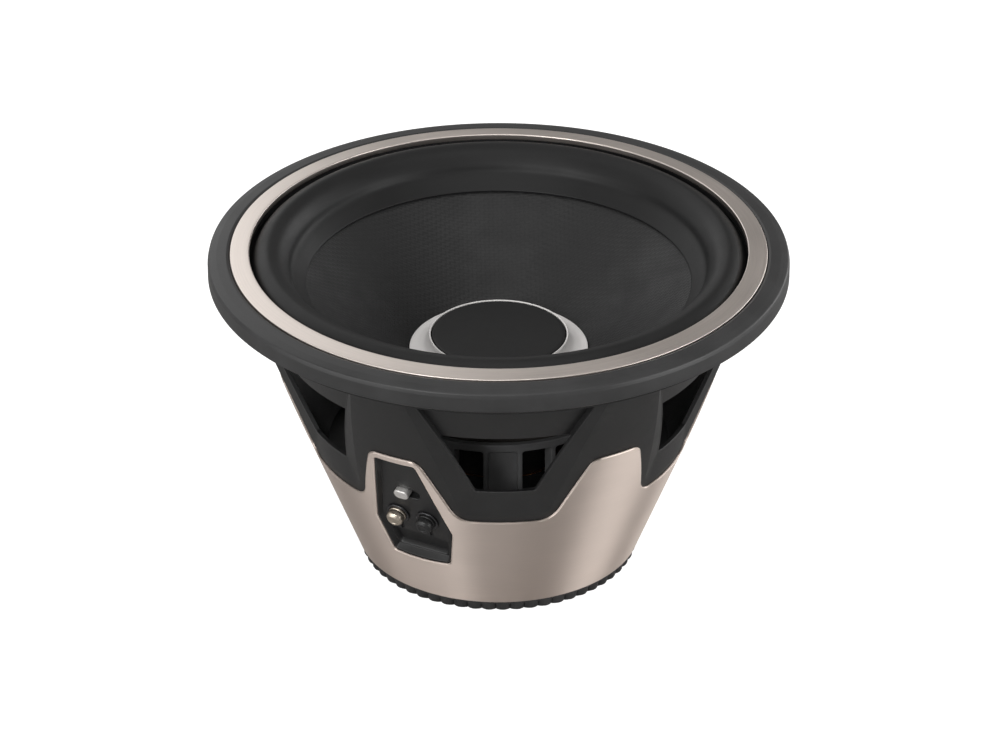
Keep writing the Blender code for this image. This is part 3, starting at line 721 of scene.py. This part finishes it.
# ---- terminal panel
def panel_outline(grow, corner_r=3.0):
    corners = [(x, y, corner_r) for x, y in PANEL_CORNERS]
    return offset(rounded(corners, 6, 8), grow)


def prism(outline, z0, z1):
    return [flat(outline, [], z0, 50.0), tube(outline, z0, z1), flat(outline, [], z1, 50.0)]


def on_panel(obj, x=0.0, y=0.0):
    """Stands an object on the terminal panel, its own +Z out along the panel's normal."""
    turn = PANEL_MATRIX.to_3x3().to_4x4()
    at = PANEL_MATRIX @ Vector((x, y, 0.0))
    obj.matrix_world = Matrix.Translation(at * MM) @ turn
    return obj


def surface_height(points):
    """How far the body's surface stands above the panel's plane at the plane's 2-D points, in millimetres."""
    turn = np.array(PANEL_MATRIX.to_3x3())
    base = np.array(PANEL_MATRIX.translation) + at_height(points, 0.0) @ turn.T
    normal = turn[:, 2]
    height = np.zeros(len(points))
    for _ in range(8):
        p = base + height[:, None] * normal
        r = np.hypot(p[:, 0], p[:, 1])
        slope = (p[:, 0] * normal[0] + p[:, 1] * normal[1]) / r - BODY_FLARE * normal[2]
        height -= (r - body_r(p[:, 2])) / slope
    return height


def panel_to_flat(points, centre_az):
    """The panel's outline in the flat layout of the body, with azimuths from centre_az."""
    turn = np.array(PANEL_MATRIX.to_3x3())
    height = surface_height(points)
    p = np.array(PANEL_MATRIX.translation) + at_height(points, height) @ turn.T
    az = np.degrees(np.arctan2(p[:, 0], -p[:, 1])) - centre_az
    return np.column_stack([az * AZ_SCALE, p[:, 2]])


def pill(length, width, x=0.0, y=0.0, arc=12):
    r = 0.5 * width
    l = 0.5 * length
    return rounded([(x - l, y - r, r), (x + l, y - r, r), (x + l, y + r, r), (x - l, y + r, r)], arc, 4)


def below_surface(grow, depth):
    """The panel's outline at a depth below the body's surface."""
    line = panel_outline(grow)
    return at_height(line, surface_height(line) - depth)


def terminal_cup():
    rim_out, plate, slot_floor, bore_floor = panel_outline(-0.35), panel_outline(-2.8), -9.0, -13.4
    rim_line = [below_surface(*at) for at in ((-0.35, 1.3), (-0.6, 1.0), (-1.3, 1.0), (-1.5, 1.25))]
    wall = [at_height(panel_outline(-2.5), -PLATE_DEPTH + 0.3), at_height(plate, -PLATE_DEPTH)]
    corners = [(-15.4, -38.6, 2.0), (15.4, -38.6, 2.0), (18.2, -25.5, 2.0), (-18.2, -25.5, 2.0)]
    pocket = rounded(corners, 5, 6)
    pocket_edge, pocket_floor = offset(pocket, 0.4), offset(pocket, -0.8)
    slot = pill(SLOT_LENGTH, SLOT_WIDTH, SLOT_X, SLOT_Y)
    bores = [ring_outline(CAP_R + 0.3, 48, x, CAP_Y) for x in CAPS_X]
    slot_edge = offset(slot, 0.3)
    slot_wall = [(slot_edge, -PLATE_DEPTH), (slot, -PLATE_DEPTH - 0.3), (slot, slot_floor)]
    pocket_wall = [(pocket_edge, -PLATE_DEPTH), (pocket, -PLATE_DEPTH - 0.4), (pocket_floor, -POCKET_DEPTH)]
    patches = [
        flat(rim_out, [], -CUP_DEPTH, 8.0),
        strip(at_height(rim_out, -CUP_DEPTH), *rim_line, *wall),
        flat(plate, [slot_edge, pocket_edge, *bores], -PLATE_DEPTH, 6.0),
        strip(*[at_height(*line) for line in slot_wall]),
        flat(slot, [], slot_floor, 20.0),
        strip(*[at_height(*line) for line in pocket_wall]),
        flat(pocket_floor, [], -POCKET_DEPTH, 20.0),
    ]
    for bore in bores:
        patches += [tube(bore, -PLATE_DEPTH, bore_floor), flat(bore, [], bore_floor, 20.0)]
    made = on_panel(shape("terminal_panel", patches, BLACK_PLASTIC))
    tunnels = []
    lie_down = Matrix.Rotation(math.pi / 2.0, 4, "X")
    for x in CAPS_X:
        tunnel = shape("wire_bore", prism(ring_outline(1.3, 24), -12.0, 1.0), BLACK_PLASTIC)
        on_panel(tunnel, x, -26.0)
        tunnel.matrix_world = tunnel.matrix_world @ Matrix.Translation((0.0, 0.0, -6.0 * MM)) @ lie_down
        tunnels.append(tunnel)
    cut(made, tunnels, BLACK_PLASTIC)
    piece(made, "black_plastic", "terminal_cup")


def stacked(outlines):
    """A closed shape through outlines (2-D outline, height), flat at both ends."""
    rows = [at_height(outline, z) for outline, z in outlines]
    (first, z0), (last, z1) = outlines[0], outlines[-1]
    return [flat(first, [], z0, 20.0), strip(*rows), flat(last, [], z1, 20.0)]


def terminals():
    terminal_cup()
    knob_outline = pill(KNOB_LENGTH, KNOB_WIDTH)
    knob = [(knob_outline, -8.6), (knob_outline, -3.3)]
    knob += [(offset(knob_outline, grow), z) for grow, z in ((-0.15, -2.9), (-0.45, -2.65), (-0.9, -2.6))]
    knob_x = SLOT_X - (SLOT_LENGTH - KNOB_LENGTH) / 2.0 + 0.3
    selector = shape("selector", stacked(knob), CAP_METAL)
    piece(on_panel(selector, knob_x, SLOT_Y), "cap_metal", "selector_knob")
    dome = [
        (0.0, 1.55, 0.0), (2.0, 1.55, 0.8), (2.35, 2.0, 0.3), (3.4, 1.85, 0.8),
        (CAP_R - 0.3, 0.4, 0.9), (CAP_R, -1.4, 0.4), (CAP_R, -2.2, 0.2), (CAP_R - 0.35, -2.5, 0.2),
        (CAP_R - 0.35, -3.1, 0.2), (CAP_R, -3.4, 0.2), (CAP_R, -9.6, 0.2), (0.0, -9.6, 0.0),
    ]
    sleeve = [
        (CAP_R + 0.3, 0.3 - PLATE_DEPTH + 1.1, 0.2), (CAP_R + 1.5, 0.3 - PLATE_DEPTH + 1.1, 0.5),
        (CAP_R + 1.8, 0.3 - PLATE_DEPTH, 0.2), (CAP_R + 0.3, 0.3 - PLATE_DEPTH, 0.2),
    ]
    caps = (("positive", GOLD_PLATE, "gold_plate"), ("negative", BLACK_PLASTIC, "black_plastic"))
    for (sign, paint, slot_name), x in zip(caps, CAPS_X):
        cap = shape(f"{sign}_button", [turned(rounded(dome, 3, 1, False), 64, False)], paint)
        piece(on_panel(cap, x, CAP_Y), slot_name, f"{sign}_cap")
        collar = shape(f"{sign}_sleeve", [turned(rounded(sleeve, 3, 1), 64)], STEEL)
        piece(on_panel(collar, x, CAP_Y), "steel", f"{sign}_bezel")


# ---- skirt
def skirt():
    """The brushed metal shroud: its top edge dips under each window, and a chamfer runs along every edge."""
    chamfer, drop = 0.75, 0.6
    half = 0.5 * SECTOR
    valley_z, tab_z = 76.0, SKIRT_HIGH.z
    valley_az, tab_az = half - 14.15, half - 23.0
    corners = [
        (-half * AZ_SCALE, valley_z, 0.0), (-valley_az * AZ_SCALE, valley_z, 13.0),
        (-tab_az * AZ_SCALE, tab_z, 7.0), (tab_az * AZ_SCALE, tab_z, 7.0),
        (valley_az * AZ_SCALE, valley_z, 13.0), (half * AZ_SCALE, valley_z, 0.0),
    ]
    top = rounded(corners, 12, 12, False)
    inner_top = offset(top, chamfer, False)
    inner_top[[0, -1], 0] = top[[0, -1], 0]
    z0 = SKIRT_LOW.z
    x = np.linspace(-half, half, SECTOR_COLUMNS + 1) * AZ_SCALE
    bottoms = [(row(x, z), depth) for z, depth in ((z0 + 0.5, 0.0), (z0, 0.5), (z0, SKIRT_INSET))]
    hole = panel_to_flat(panel_outline(0.0), PANEL_AZ)
    wide_hole = panel_to_flat(panel_outline(chamfer), PANEL_AZ)
    side = np.linspace(0.0, 1.0, 15)[1:-1]

    def on_skirt(points, depth):
        az, z = points[:, 0] / AZ_SCALE + PANEL_AZ, points[:, 1]
        return on_circle(body_r(z) - depth, az, z)

    def face(bottom, upper, depth, holes):
        rise = bottom[-1, 1] + side * (upper[-1, 1] - bottom[-1, 1])
        edge = [bottom, upright(x[-1], rise), upper[::-1], upright(x[0], rise[::-1])]
        points, faces = fill(np.concatenate(edge), holes, 3.0)
        return on_skirt(points, depth), faces

    chamfered = ((inner_top, 0.0), (top, drop), (top, SKIRT_INSET))

    def sector(holes, wide_holes):
        made = [
            face(bottoms[0][0], inner_top, 0.0, wide_holes),
            strip(*[on_skirt(*line) for line in chamfered], closed=False),
            strip(*[on_skirt(*line) for line in bottoms], closed=False),
            face(bottoms[2][0], top, SKIRT_INSET, holes),
        ]
        for loop, wide in zip(holes, wide_holes):
            made.append(strip(on_skirt(wide, 0.0), on_skirt(loop, drop), on_skirt(loop, SKIRT_INSET)))
        return made

    plain = sector([], [])
    patches = sector([hole], [wide_hole]) + spun(plain, SECTORS, SECTOR)[len(plain) :]
    piece(shape("skirt_shell", patches, SKIRT_METAL, 25.0), "skirt_metal", "skirt")


# ---- motor and base
def base_ring():
    teeth, samples = 60, 10
    az = 360.0 * np.arange(teeth * samples) / (teeth * samples)
    wave = np.abs(np.cos(np.radians(0.5 * az * teeth))) ** 0.7 * 2.0 - 1.0
    r1, top = BASE_HIGH.x, BASE_HIGH.z
    outer_rows = [(0.4, top, 0.0), (0.0, top - 0.4, 0.0), (0.5, 5.2, 0.5), (1.1, 3.9, 1.1)]
    outer_rows += [(1.3, 2.2, 1.1), (1.9, 0.9, 1.0), (3.2, 0.0, 0.8)]
    rings = [on_circle(r1 - inset + swing * wave, az, z) for inset, z, swing in outer_rows]
    ledge_z, seat_z = 2.7, 1.5
    inner_rows = ((74.4, top), (74.4, ledge_z), (66.0, ledge_z), (66.0, 0.0))
    seats = hole_outlines(4, SCREW_PCD_R, 3.0, 45.0)
    holes = hole_outlines(4, SCREW_PCD_R, 1.8, 45.0)
    ledge = [on_circle(r, az, z) for r, z in inner_rows]
    patches = [
        strip(*rings),
        strip(rings[0], ledge[0], ledge[1]),
        flat(ledge[1][:, :2], [ledge[2][:, :2], *holes], ledge_z),
        strip(ledge[2], ledge[3]),
        flat(rings[-1][:, :2], [ledge[3][:, :2], *seats], 0.0),
    ]
    for seat, hole in zip(seats, holes):
        patches += [tube(seat, 0.0, seat_z), flat(seat, [hole], seat_z), tube(hole, seat_z, ledge_z)]
    piece(shape("foot_ring", patches, TRIM_RUBBER, 40.0), "trim_rubber", "base_ring")


def block(r0, r1, z0, z1, edge=0.8):
    """The (r, z) outline of a plain ring with eased edges."""
    return rounded([(r0, z1, edge), (r1, z1, edge), (r1, z0, edge), (r0, z0, edge)], 4, 2)


def motor():
    back = [
        (13.0, BACK_HIGH.z - 5.0, 2.0), (16.0, BACK_HIGH.z, 1.0), (36.6, BACK_HIGH.z, 1.0),
        (36.6, 15.0, 2.0), (BACK_HIGH.x, 15.0, 1.2), (BACK_HIGH.x, BACK_LOW.z, 1.2),
        (21.0, BACK_LOW.z, 0.4), (21.0, 5.4, 0.2), (19.0, 5.4, 0.8), (13.0, 14.0, 3.0),
    ]
    lathe("yoke", rounded(back, 4, 2), PLATE_STEEL, "steel", "back_plate")
    for node in ("magnet_lower", "magnet_upper"):
        low, high = span(node)
        lathe(f"{node}_disc", block(46.0, high.x, low.z, high.z, 1.2), FERRITE, "ferrite", node)
    top = block(41.0, TOP_PLATE_HIGH.x, TOP_PLATE_LOW.z, TOP_PLATE_HIGH.z)
    lathe("front_plate", top, PLATE_STEEL, "steel", "top_plate")
    short = block(42.0, SHORTING_HIGH.x, SHORTING_LOW.z, SHORTING_HIGH.z, 0.5)
    lathe("flux_ring", short, ALUMINIUM, "bare_aluminium", "shorting_ring")
    z0, z1, r = SCREEN_LOW.z, SCREEN_HIGH.z, SCREEN_HIGH.x
    holes = hole_outlines(6, 7.0, 2.3, 0.0) + hole_outlines(12, 14.5, 2.3, 15.0)
    inset, rim_line = ring_outline(r - 0.3, 96), ring_outline(r, 96)
    patches = [flat(inset, holes, z, 4.0) for z in (z0, z1)]
    edge = [(inset, z0), (rim_line, z0 + 0.3), (rim_line, z1 - 0.3), (inset, z1)]
    patches.append(strip(*[at_height(*line) for line in edge]))
    patches += [tube(hole, z0, z1) for hole in holes]
    piece(shape("vent_grille", patches, BLACK_PLASTIC), "black_plastic", "vent_screen")


def socket_screw(name, head_r, head_h, shank_r, length):
    """A screw whose head stands on z = 0, with a hexagon socket in its top."""
    az = 360.0 * np.arange(48) / 48
    hexagon = 1.0 / np.cos(np.radians((az + 30.0) % 60.0 - 30.0))
    key = 0.5 * head_r
    rows = [(0.0, 0.45 * head_h, 0), (key, 0.45 * head_h, 1), (key, head_h - 0.25, 1)]
    rows += [(key + 0.25, head_h, 1), (head_r - 0.4, head_h, 0), (head_r, head_h - 0.4, 0)]
    knurl = 1.0 + 0.008 * np.cos(np.radians(az * 24.0))
    rings = [on_circle(r * (hexagon if shaped else 1.0), az, z) for r, z, shaped in rows]
    rings += [on_circle(head_r * knurl, az, z) for z in (0.8 * head_h, 0.2 * head_h)]
    shank = ((head_r, 0.0), (shank_r, 0.0), (shank_r, -length), (0.0, -length))
    rings += [on_circle(r, az, z) for r, z in shank]
    return shape(name, [strip(*rings)], STEEL, 30.0)


def fasteners():
    kinds = (
        ("plate_bolt", "bolt", 6, (4.2, 4.5, 2.5, 13.5), False),
        ("base_screw", "foot_screw", 4, (2.7, 1.1, 1.5, 8.5), True),
    )
    for node, name, count, sizes, head_down in kinds:
        for i in range(1, count + 1):
            low, high = span(f"{node}_{i}")
            screw = socket_screw(f"{name}_{i}", *sizes)
            z = low.z + sizes[1] if head_down else high.z - sizes[1]
            screw.location = ((low + high) / 2.0 * MM).xy.to_3d() + Vector((0.0, 0.0, z * MM))
            screw.rotation_euler = (math.pi if head_down else 0.0, 0.0, 0.0)
            piece(screw, "steel", f"{node}_{i}")


def spider_seat():
    """The ribbed riser: four spaces in each sector, one of them closed by a panel behind its window."""
    r0, r1, panel_r = 66.0, SEAT_HIGH.x, 71.5
    ledge_z, lip_r, edge = 103.8, 71.8, 0.5
    z0, z1 = SEAT_LOW.z, SEAT_HIGH.z
    pitch, scale = 15.0, 1.3
    half = 0.5 * (pitch - 2.2) * scale
    centres = [pitch * scale * (k + 0.5) for k in range(4)]

    def space(x, grow):
        low, high, r = z0 + 4.0, z1 - 4.7, 1.6
        corners = [(x - half, low, r), (x + half, low, r), (x + half, high, r), (x - half, high, r)]
        return offset(rounded(corners, 5, 6), grow)

    width = SECTOR * scale
    x = np.linspace(0.0, width, SECTOR_COLUMNS + 1)

    def outline(top):
        z = np.linspace(z0, top, 8)[1:-1]
        return np.concatenate([row(x, z0), upright(width, z), row(x[::-1], top), upright(0.0, z[::-1])])

    def on_seat(points, r):
        return on_circle(r, points[:, 0] / scale - 0.5 * pitch, points[:, 1])

    def patch(edge, holes, r):
        points, faces = fill(edge, holes, 4.0)
        return on_seat(points, r), faces

    sector = [
        patch(outline(z1 - edge), [space(c, 0.8) for c in centres], r1),
        patch(outline(ledge_z), [space(c, 0.3) for c in centres[1:]], r0),
    ]
    for k, centre in enumerate(centres):
        depths = [(0.8, r1), (0.4, r1 - 0.1), (0.12, r1 - 0.4), (0.0, r1 - 0.9)]
        depths += [(0.0, panel_r)] if k == 0 else [(0.0, r0 + 0.4), (0.3, r0)]
        sector.append(strip(*[on_seat(space(centre, grow), r) for grow, r in depths]))
    sector.append(patch(space(centres[0], 0.0), [], panel_r))
    az = 1.5 * np.arange(COLUMNS) - 0.5 * pitch
    top = ((r0, ledge_z), (lip_r, ledge_z), (lip_r, z1), (r1 - edge, z1), (r1, z1 - edge))
    bottom = ((r0, z0), (r1, z0))
    ends = [strip(*[on_circle(r, az, z) for r, z in line]) for line in (bottom, top)]
    # The riser's paint is the black plastic painted lighter: painted light inside the basket.
    riser = shape("riser", spun(sector, SECTORS, SECTOR) + ends, RISER_PAINTED_LIGHT)
    piece(riser, "black_plastic", "spider_seat")


# ---- moving assembly, and the surround, spider and leads that flex with it on the real driver; here they are left as built
def cone_assembly():
    mouth = (CONE_HIGH.x - 0.4, CONE_HIGH.z - 0.4)
    line = curve([(40.9, CONE_LOW.z + 0.9), (51.0, 126.8), (80.5, 148.45), (110.0, 170.1), mouth], 10)
    lathe("cone_shell", ribbon(line, 1.3), CONE_WEAVE, "cone_weave", "cone")
    lip = [(50.6, FLARE_LOW.z + 0.65), (46.5, 129.2), (42.6, 131.0), (40.4, 134.3), (39.5, FLARE_HIGH.z - 0.6)]
    flare = ribbon(curve(lip, 6), 1.15)
    lathe("flare_ring", flare, FLARE_METAL, "cap_metal", "dust_cap_flare", CENTRE_COLUMNS)
    r, top = DISC_HIGH.x, DISC_HIGH.z
    corners = [(0.0, top, 0.0), (r - 1.6, top, 1.0), (r, top - 0.3, 0.3)]
    corners += [(r, DISC_LOW.z, 0.2), (0.0, DISC_LOW.z, 0.0)]
    disc = turned(rounded(corners, 3, 6, False), CENTRE_COLUMNS, False)
    piece(shape("centre_disc", [disc], DISC_BLACK), "black_plastic", "dust_cap_disc")
    former = block(FORMER_HIGH.x - 0.5, FORMER_HIGH.x, FORMER_LOW.z, FORMER_HIGH.z, 0.1)
    lathe("former_tube", former, FORMER_FILM, "former_film", "coil_former", SMALL_COLUMNS)
    coil = block(FORMER_HIGH.x + 0.3, COIL_HIGH.x, COIL_LOW.z, COIL_HIGH.z, 0.3)
    lathe("windings", coil, COPPER, "copper", "voice_coil", SMALL_COLUMNS)
    collar = block(FORMER_HIGH.x + 0.3, COLLAR_HIGH.x, COLLAR_LOW.z, COLLAR_HIGH.z, 0.4)
    lathe("neck_collar", collar, BLACK_PLASTIC, "black_plastic", "coil_collar", SMALL_COLUMNS)


def surround():
    crest = SURROUND_HIGH.z - 0.75
    points = [(110.2, 172.8), (114.4, 176.8), (118.3, 180.6), (120.4, 185.2), (124.2, 190.0)]
    points += [(128.0, crest - 0.6), (132.0, crest), (136.8, 190.5), (139.2, 187.0), (140.2, 184.4)]
    points += [(142.4, 183.2), (146.0, 183.2), (SURROUND_HIGH.x - 0.8, 183.2)]
    made = shape("surround_roll", [turned(ribbon(curve(points, 5), 1.5))], SURROUND_RUBBER)
    flexing(made, (140.5, 184.0), (119.0, 181.0), 90.0, "surround")


def spider():
    waves, swing, inner, outer, z = 3, 2.2, 44.0, 64.0, 104.6
    r = np.linspace(inner, outer, 20 * waves + 1)
    wavy = np.column_stack([r, z + swing * np.sin(math.tau * waves * (r - inner) / (outer - inner))])
    hub, edge = [(COIL_HIGH.x + 0.9, z), (42.4, z)], [(66.0, z), (69.0, z), (SPIDER_HIGH.x - 0.5, z)]
    disc = turned(ribbon(np.concatenate([hub, wavy, edge]), 0.9), CENTRE_COLUMNS)
    made = shape("spider_disc", [disc], SPIDER_CLOTH, 60.0)
    flexing(made, (65.5, z), (42.5, z), 90.0, "spider")


def leads():
    """Two braided leads, each arching from the riser to the cone's neck."""
    for node in ("lead_positive", "lead_negative"):
        low, high = span(node)
        middle = (low + high) / 2.0
        az = math.degrees(math.atan2(middle.x, -middle.y))
        share = np.linspace(0.0, 1.0, 49)
        r = 73.6 - 17.1 * share
        z = 108.1 + 20.8 * share - 7.0 * np.sin(math.pi * share) + 3.0 * np.sin(math.tau * share)
        path = np.column_stack([r, z])
        along = np.gradient(path, axis=0)
        along /= np.linalg.norm(along, axis=1)[:, None]
        out = on_circle(1.0, az, 0.0)
        side = on_circle(1.0, az + 90.0, 0.0)
        turns = math.tau * np.arange(16) / 16
        rings = []
        for (at_r, at_z), (dr, dz) in zip(path, along):
            up = np.array([-dz * out[0], -dz * out[1], dr])
            centre = np.array([at_r * out[0], at_r * out[1], at_z])
            rings.append(centre + 0.88 * (np.cos(turns)[:, None] * side + np.sin(turns)[:, None] * up))
        fan = [(0, k + 1, (k + 1) % 16 + 1) for k in range(16)]
        ends = [(np.vstack([rings[i].mean(0), rings[i]]), fan) for i in (0, -1)]
        made = shape(f"{node}_braid", [strip(*rings), *ends], BRAID, 50.0)
        flexing(made, (67.5, 109.5), (56.8, 128.0), az, node)


# ---- stage, light and camera
def fresh_nodes(owner, *kinds):
    """Empties the owner's node tree and adds the kinds of nodes."""
    owner.use_nodes = True
    owner.node_tree.nodes.clear()
    return [owner.node_tree.nodes.new(f"ShaderNode{kind}") for kind in kinds]


def stage():
    """A pale floor that glows to the camera and is clear from below."""
    mesh = bpy.data.meshes.new("floor")
    mesh.from_pydata(at_height(ring_outline(6.0, 64), 0.0).tolist(), [], [tuple(range(64))])
    floor = add_object("floor", mesh)
    paint = bpy.data.materials.new("floor_white")
    matt, glow, both, clear = fresh_nodes(paint, "BsdfDiffuse", "Emission", "AddShader", "BsdfTransparent")
    add, link = paint.node_tree.nodes.new, paint.node_tree.links.new
    sides, light, shine = add("ShaderNodeMixShader"), add("ShaderNodeLightPath"), add("ShaderNodeMath")
    matt.inputs["Color"].default_value = (0.42, 0.415, 0.41, 1.0)
    shine.operation = "MULTIPLY"
    shine.inputs[1].default_value = 0.95
    link(light.outputs["Is Camera Ray"], shine.inputs[0])
    link(shine.outputs[0], glow.inputs["Strength"])
    link(matt.outputs[0], both.inputs[0])
    link(glow.outputs[0], both.inputs[1])
    link(add("ShaderNodeNewGeometry").outputs["Backfacing"], sides.inputs[0])
    link(both.outputs[0], sides.inputs[1])
    link(clear.outputs[0], sides.inputs[2])
    link(sides.outputs[0], add("ShaderNodeOutputMaterial").inputs[0])
    mesh.materials.append(paint)


def world():
    """White to the camera, and a weak warm light to the object."""
    made = bpy.data.worlds.new("studio")
    kinds = ("Background", "Background", "MixShader", "LightPath", "OutputWorld")
    seen, lit, mix, light, out = fresh_nodes(made, *kinds)
    seen.inputs[0].default_value = (1.0, 1.0, 1.0, 1.0)
    lit.inputs[0].default_value = (1.0, 0.985, 0.97, 1.0)
    lit.inputs[1].default_value = 0.26
    link = made.node_tree.links.new
    link(light.outputs["Is Camera Ray"], mix.inputs[0])
    link(lit.outputs[0], mix.inputs[1])
    link(seen.outputs[0], mix.inputs[2])
    link(mix.outputs[0], out.inputs[0])
    bpy.context.scene.world = made


def look_from(obj, az, elevation, distance, aim_z):
    """Sets a lamp or camera a distance in metres from the point at aim_z on the axis, facing it."""
    tilt = math.radians(elevation)
    away = Vector(on_circle(math.cos(tilt), az, math.sin(tilt)))
    obj.location = Vector((0.0, 0.0, aim_z)) + distance * away
    obj.rotation_euler = away.to_track_quat("Z", "Y").to_euler()


def lights():
    """Rectangular lamps: az, elevation, distance, (width, height) in metres and watts."""
    lamps = (
        ("top", 0.0, 80.0, 1.7, (1.6, 1.6), 8.0),
        ("back_left", -140.0, 30.0, 1.9, (2.2, 1.6), 9.5),
        ("back_right", 122.0, 8.0, 1.7, (1.4, 1.0), 11.0),
        ("front_left", -62.0, 6.0, 1.5, (1.2, 1.0), 8.0),
        ("front_right", 64.0, 6.0, 1.5, (0.9, 1.0), 13.0),
        ("front_fill", -30.0, 24.0, 2.0, (0.5, 0.5), 12.0),
        ("front_high", 2.0, 34.0, 2.0, (0.4, 0.4), 3.0),
    )
    for name, az, elevation, distance, size, watts in lamps:
        data = bpy.data.lights.new(name, "AREA")
        data.shape = "RECTANGLE"
        data.size, data.size_y = size
        data.energy = watts
        lamp = add_object(name, data)
        look_from(lamp, az, elevation, distance, 0.11)
        lamp.visible_camera = False


def camera():
    data = bpy.data.cameras.new("camera")
    data.lens, data.sensor_width = 180.0, 36.0
    data.clip_start, data.clip_end = 0.1, 50.0
    data.shift_x = 0.0013
    obj = add_object("camera", data)
    look_from(obj, -1.8, 29.3, 2.87268, 0.11344)
    bpy.context.scene.camera = obj


view = bpy.context.scene.view_settings
view.view_transform, view.look, view.exposure, view.gamma = "Standard", "None", 0.0, 1.0
camera()
rim()
basket()
terminals()
skirt()
base_ring()
motor()
fasteners()
spider_seat()
cone_assembly()
surround()
spider()
leads()
stage()
world()
lights()
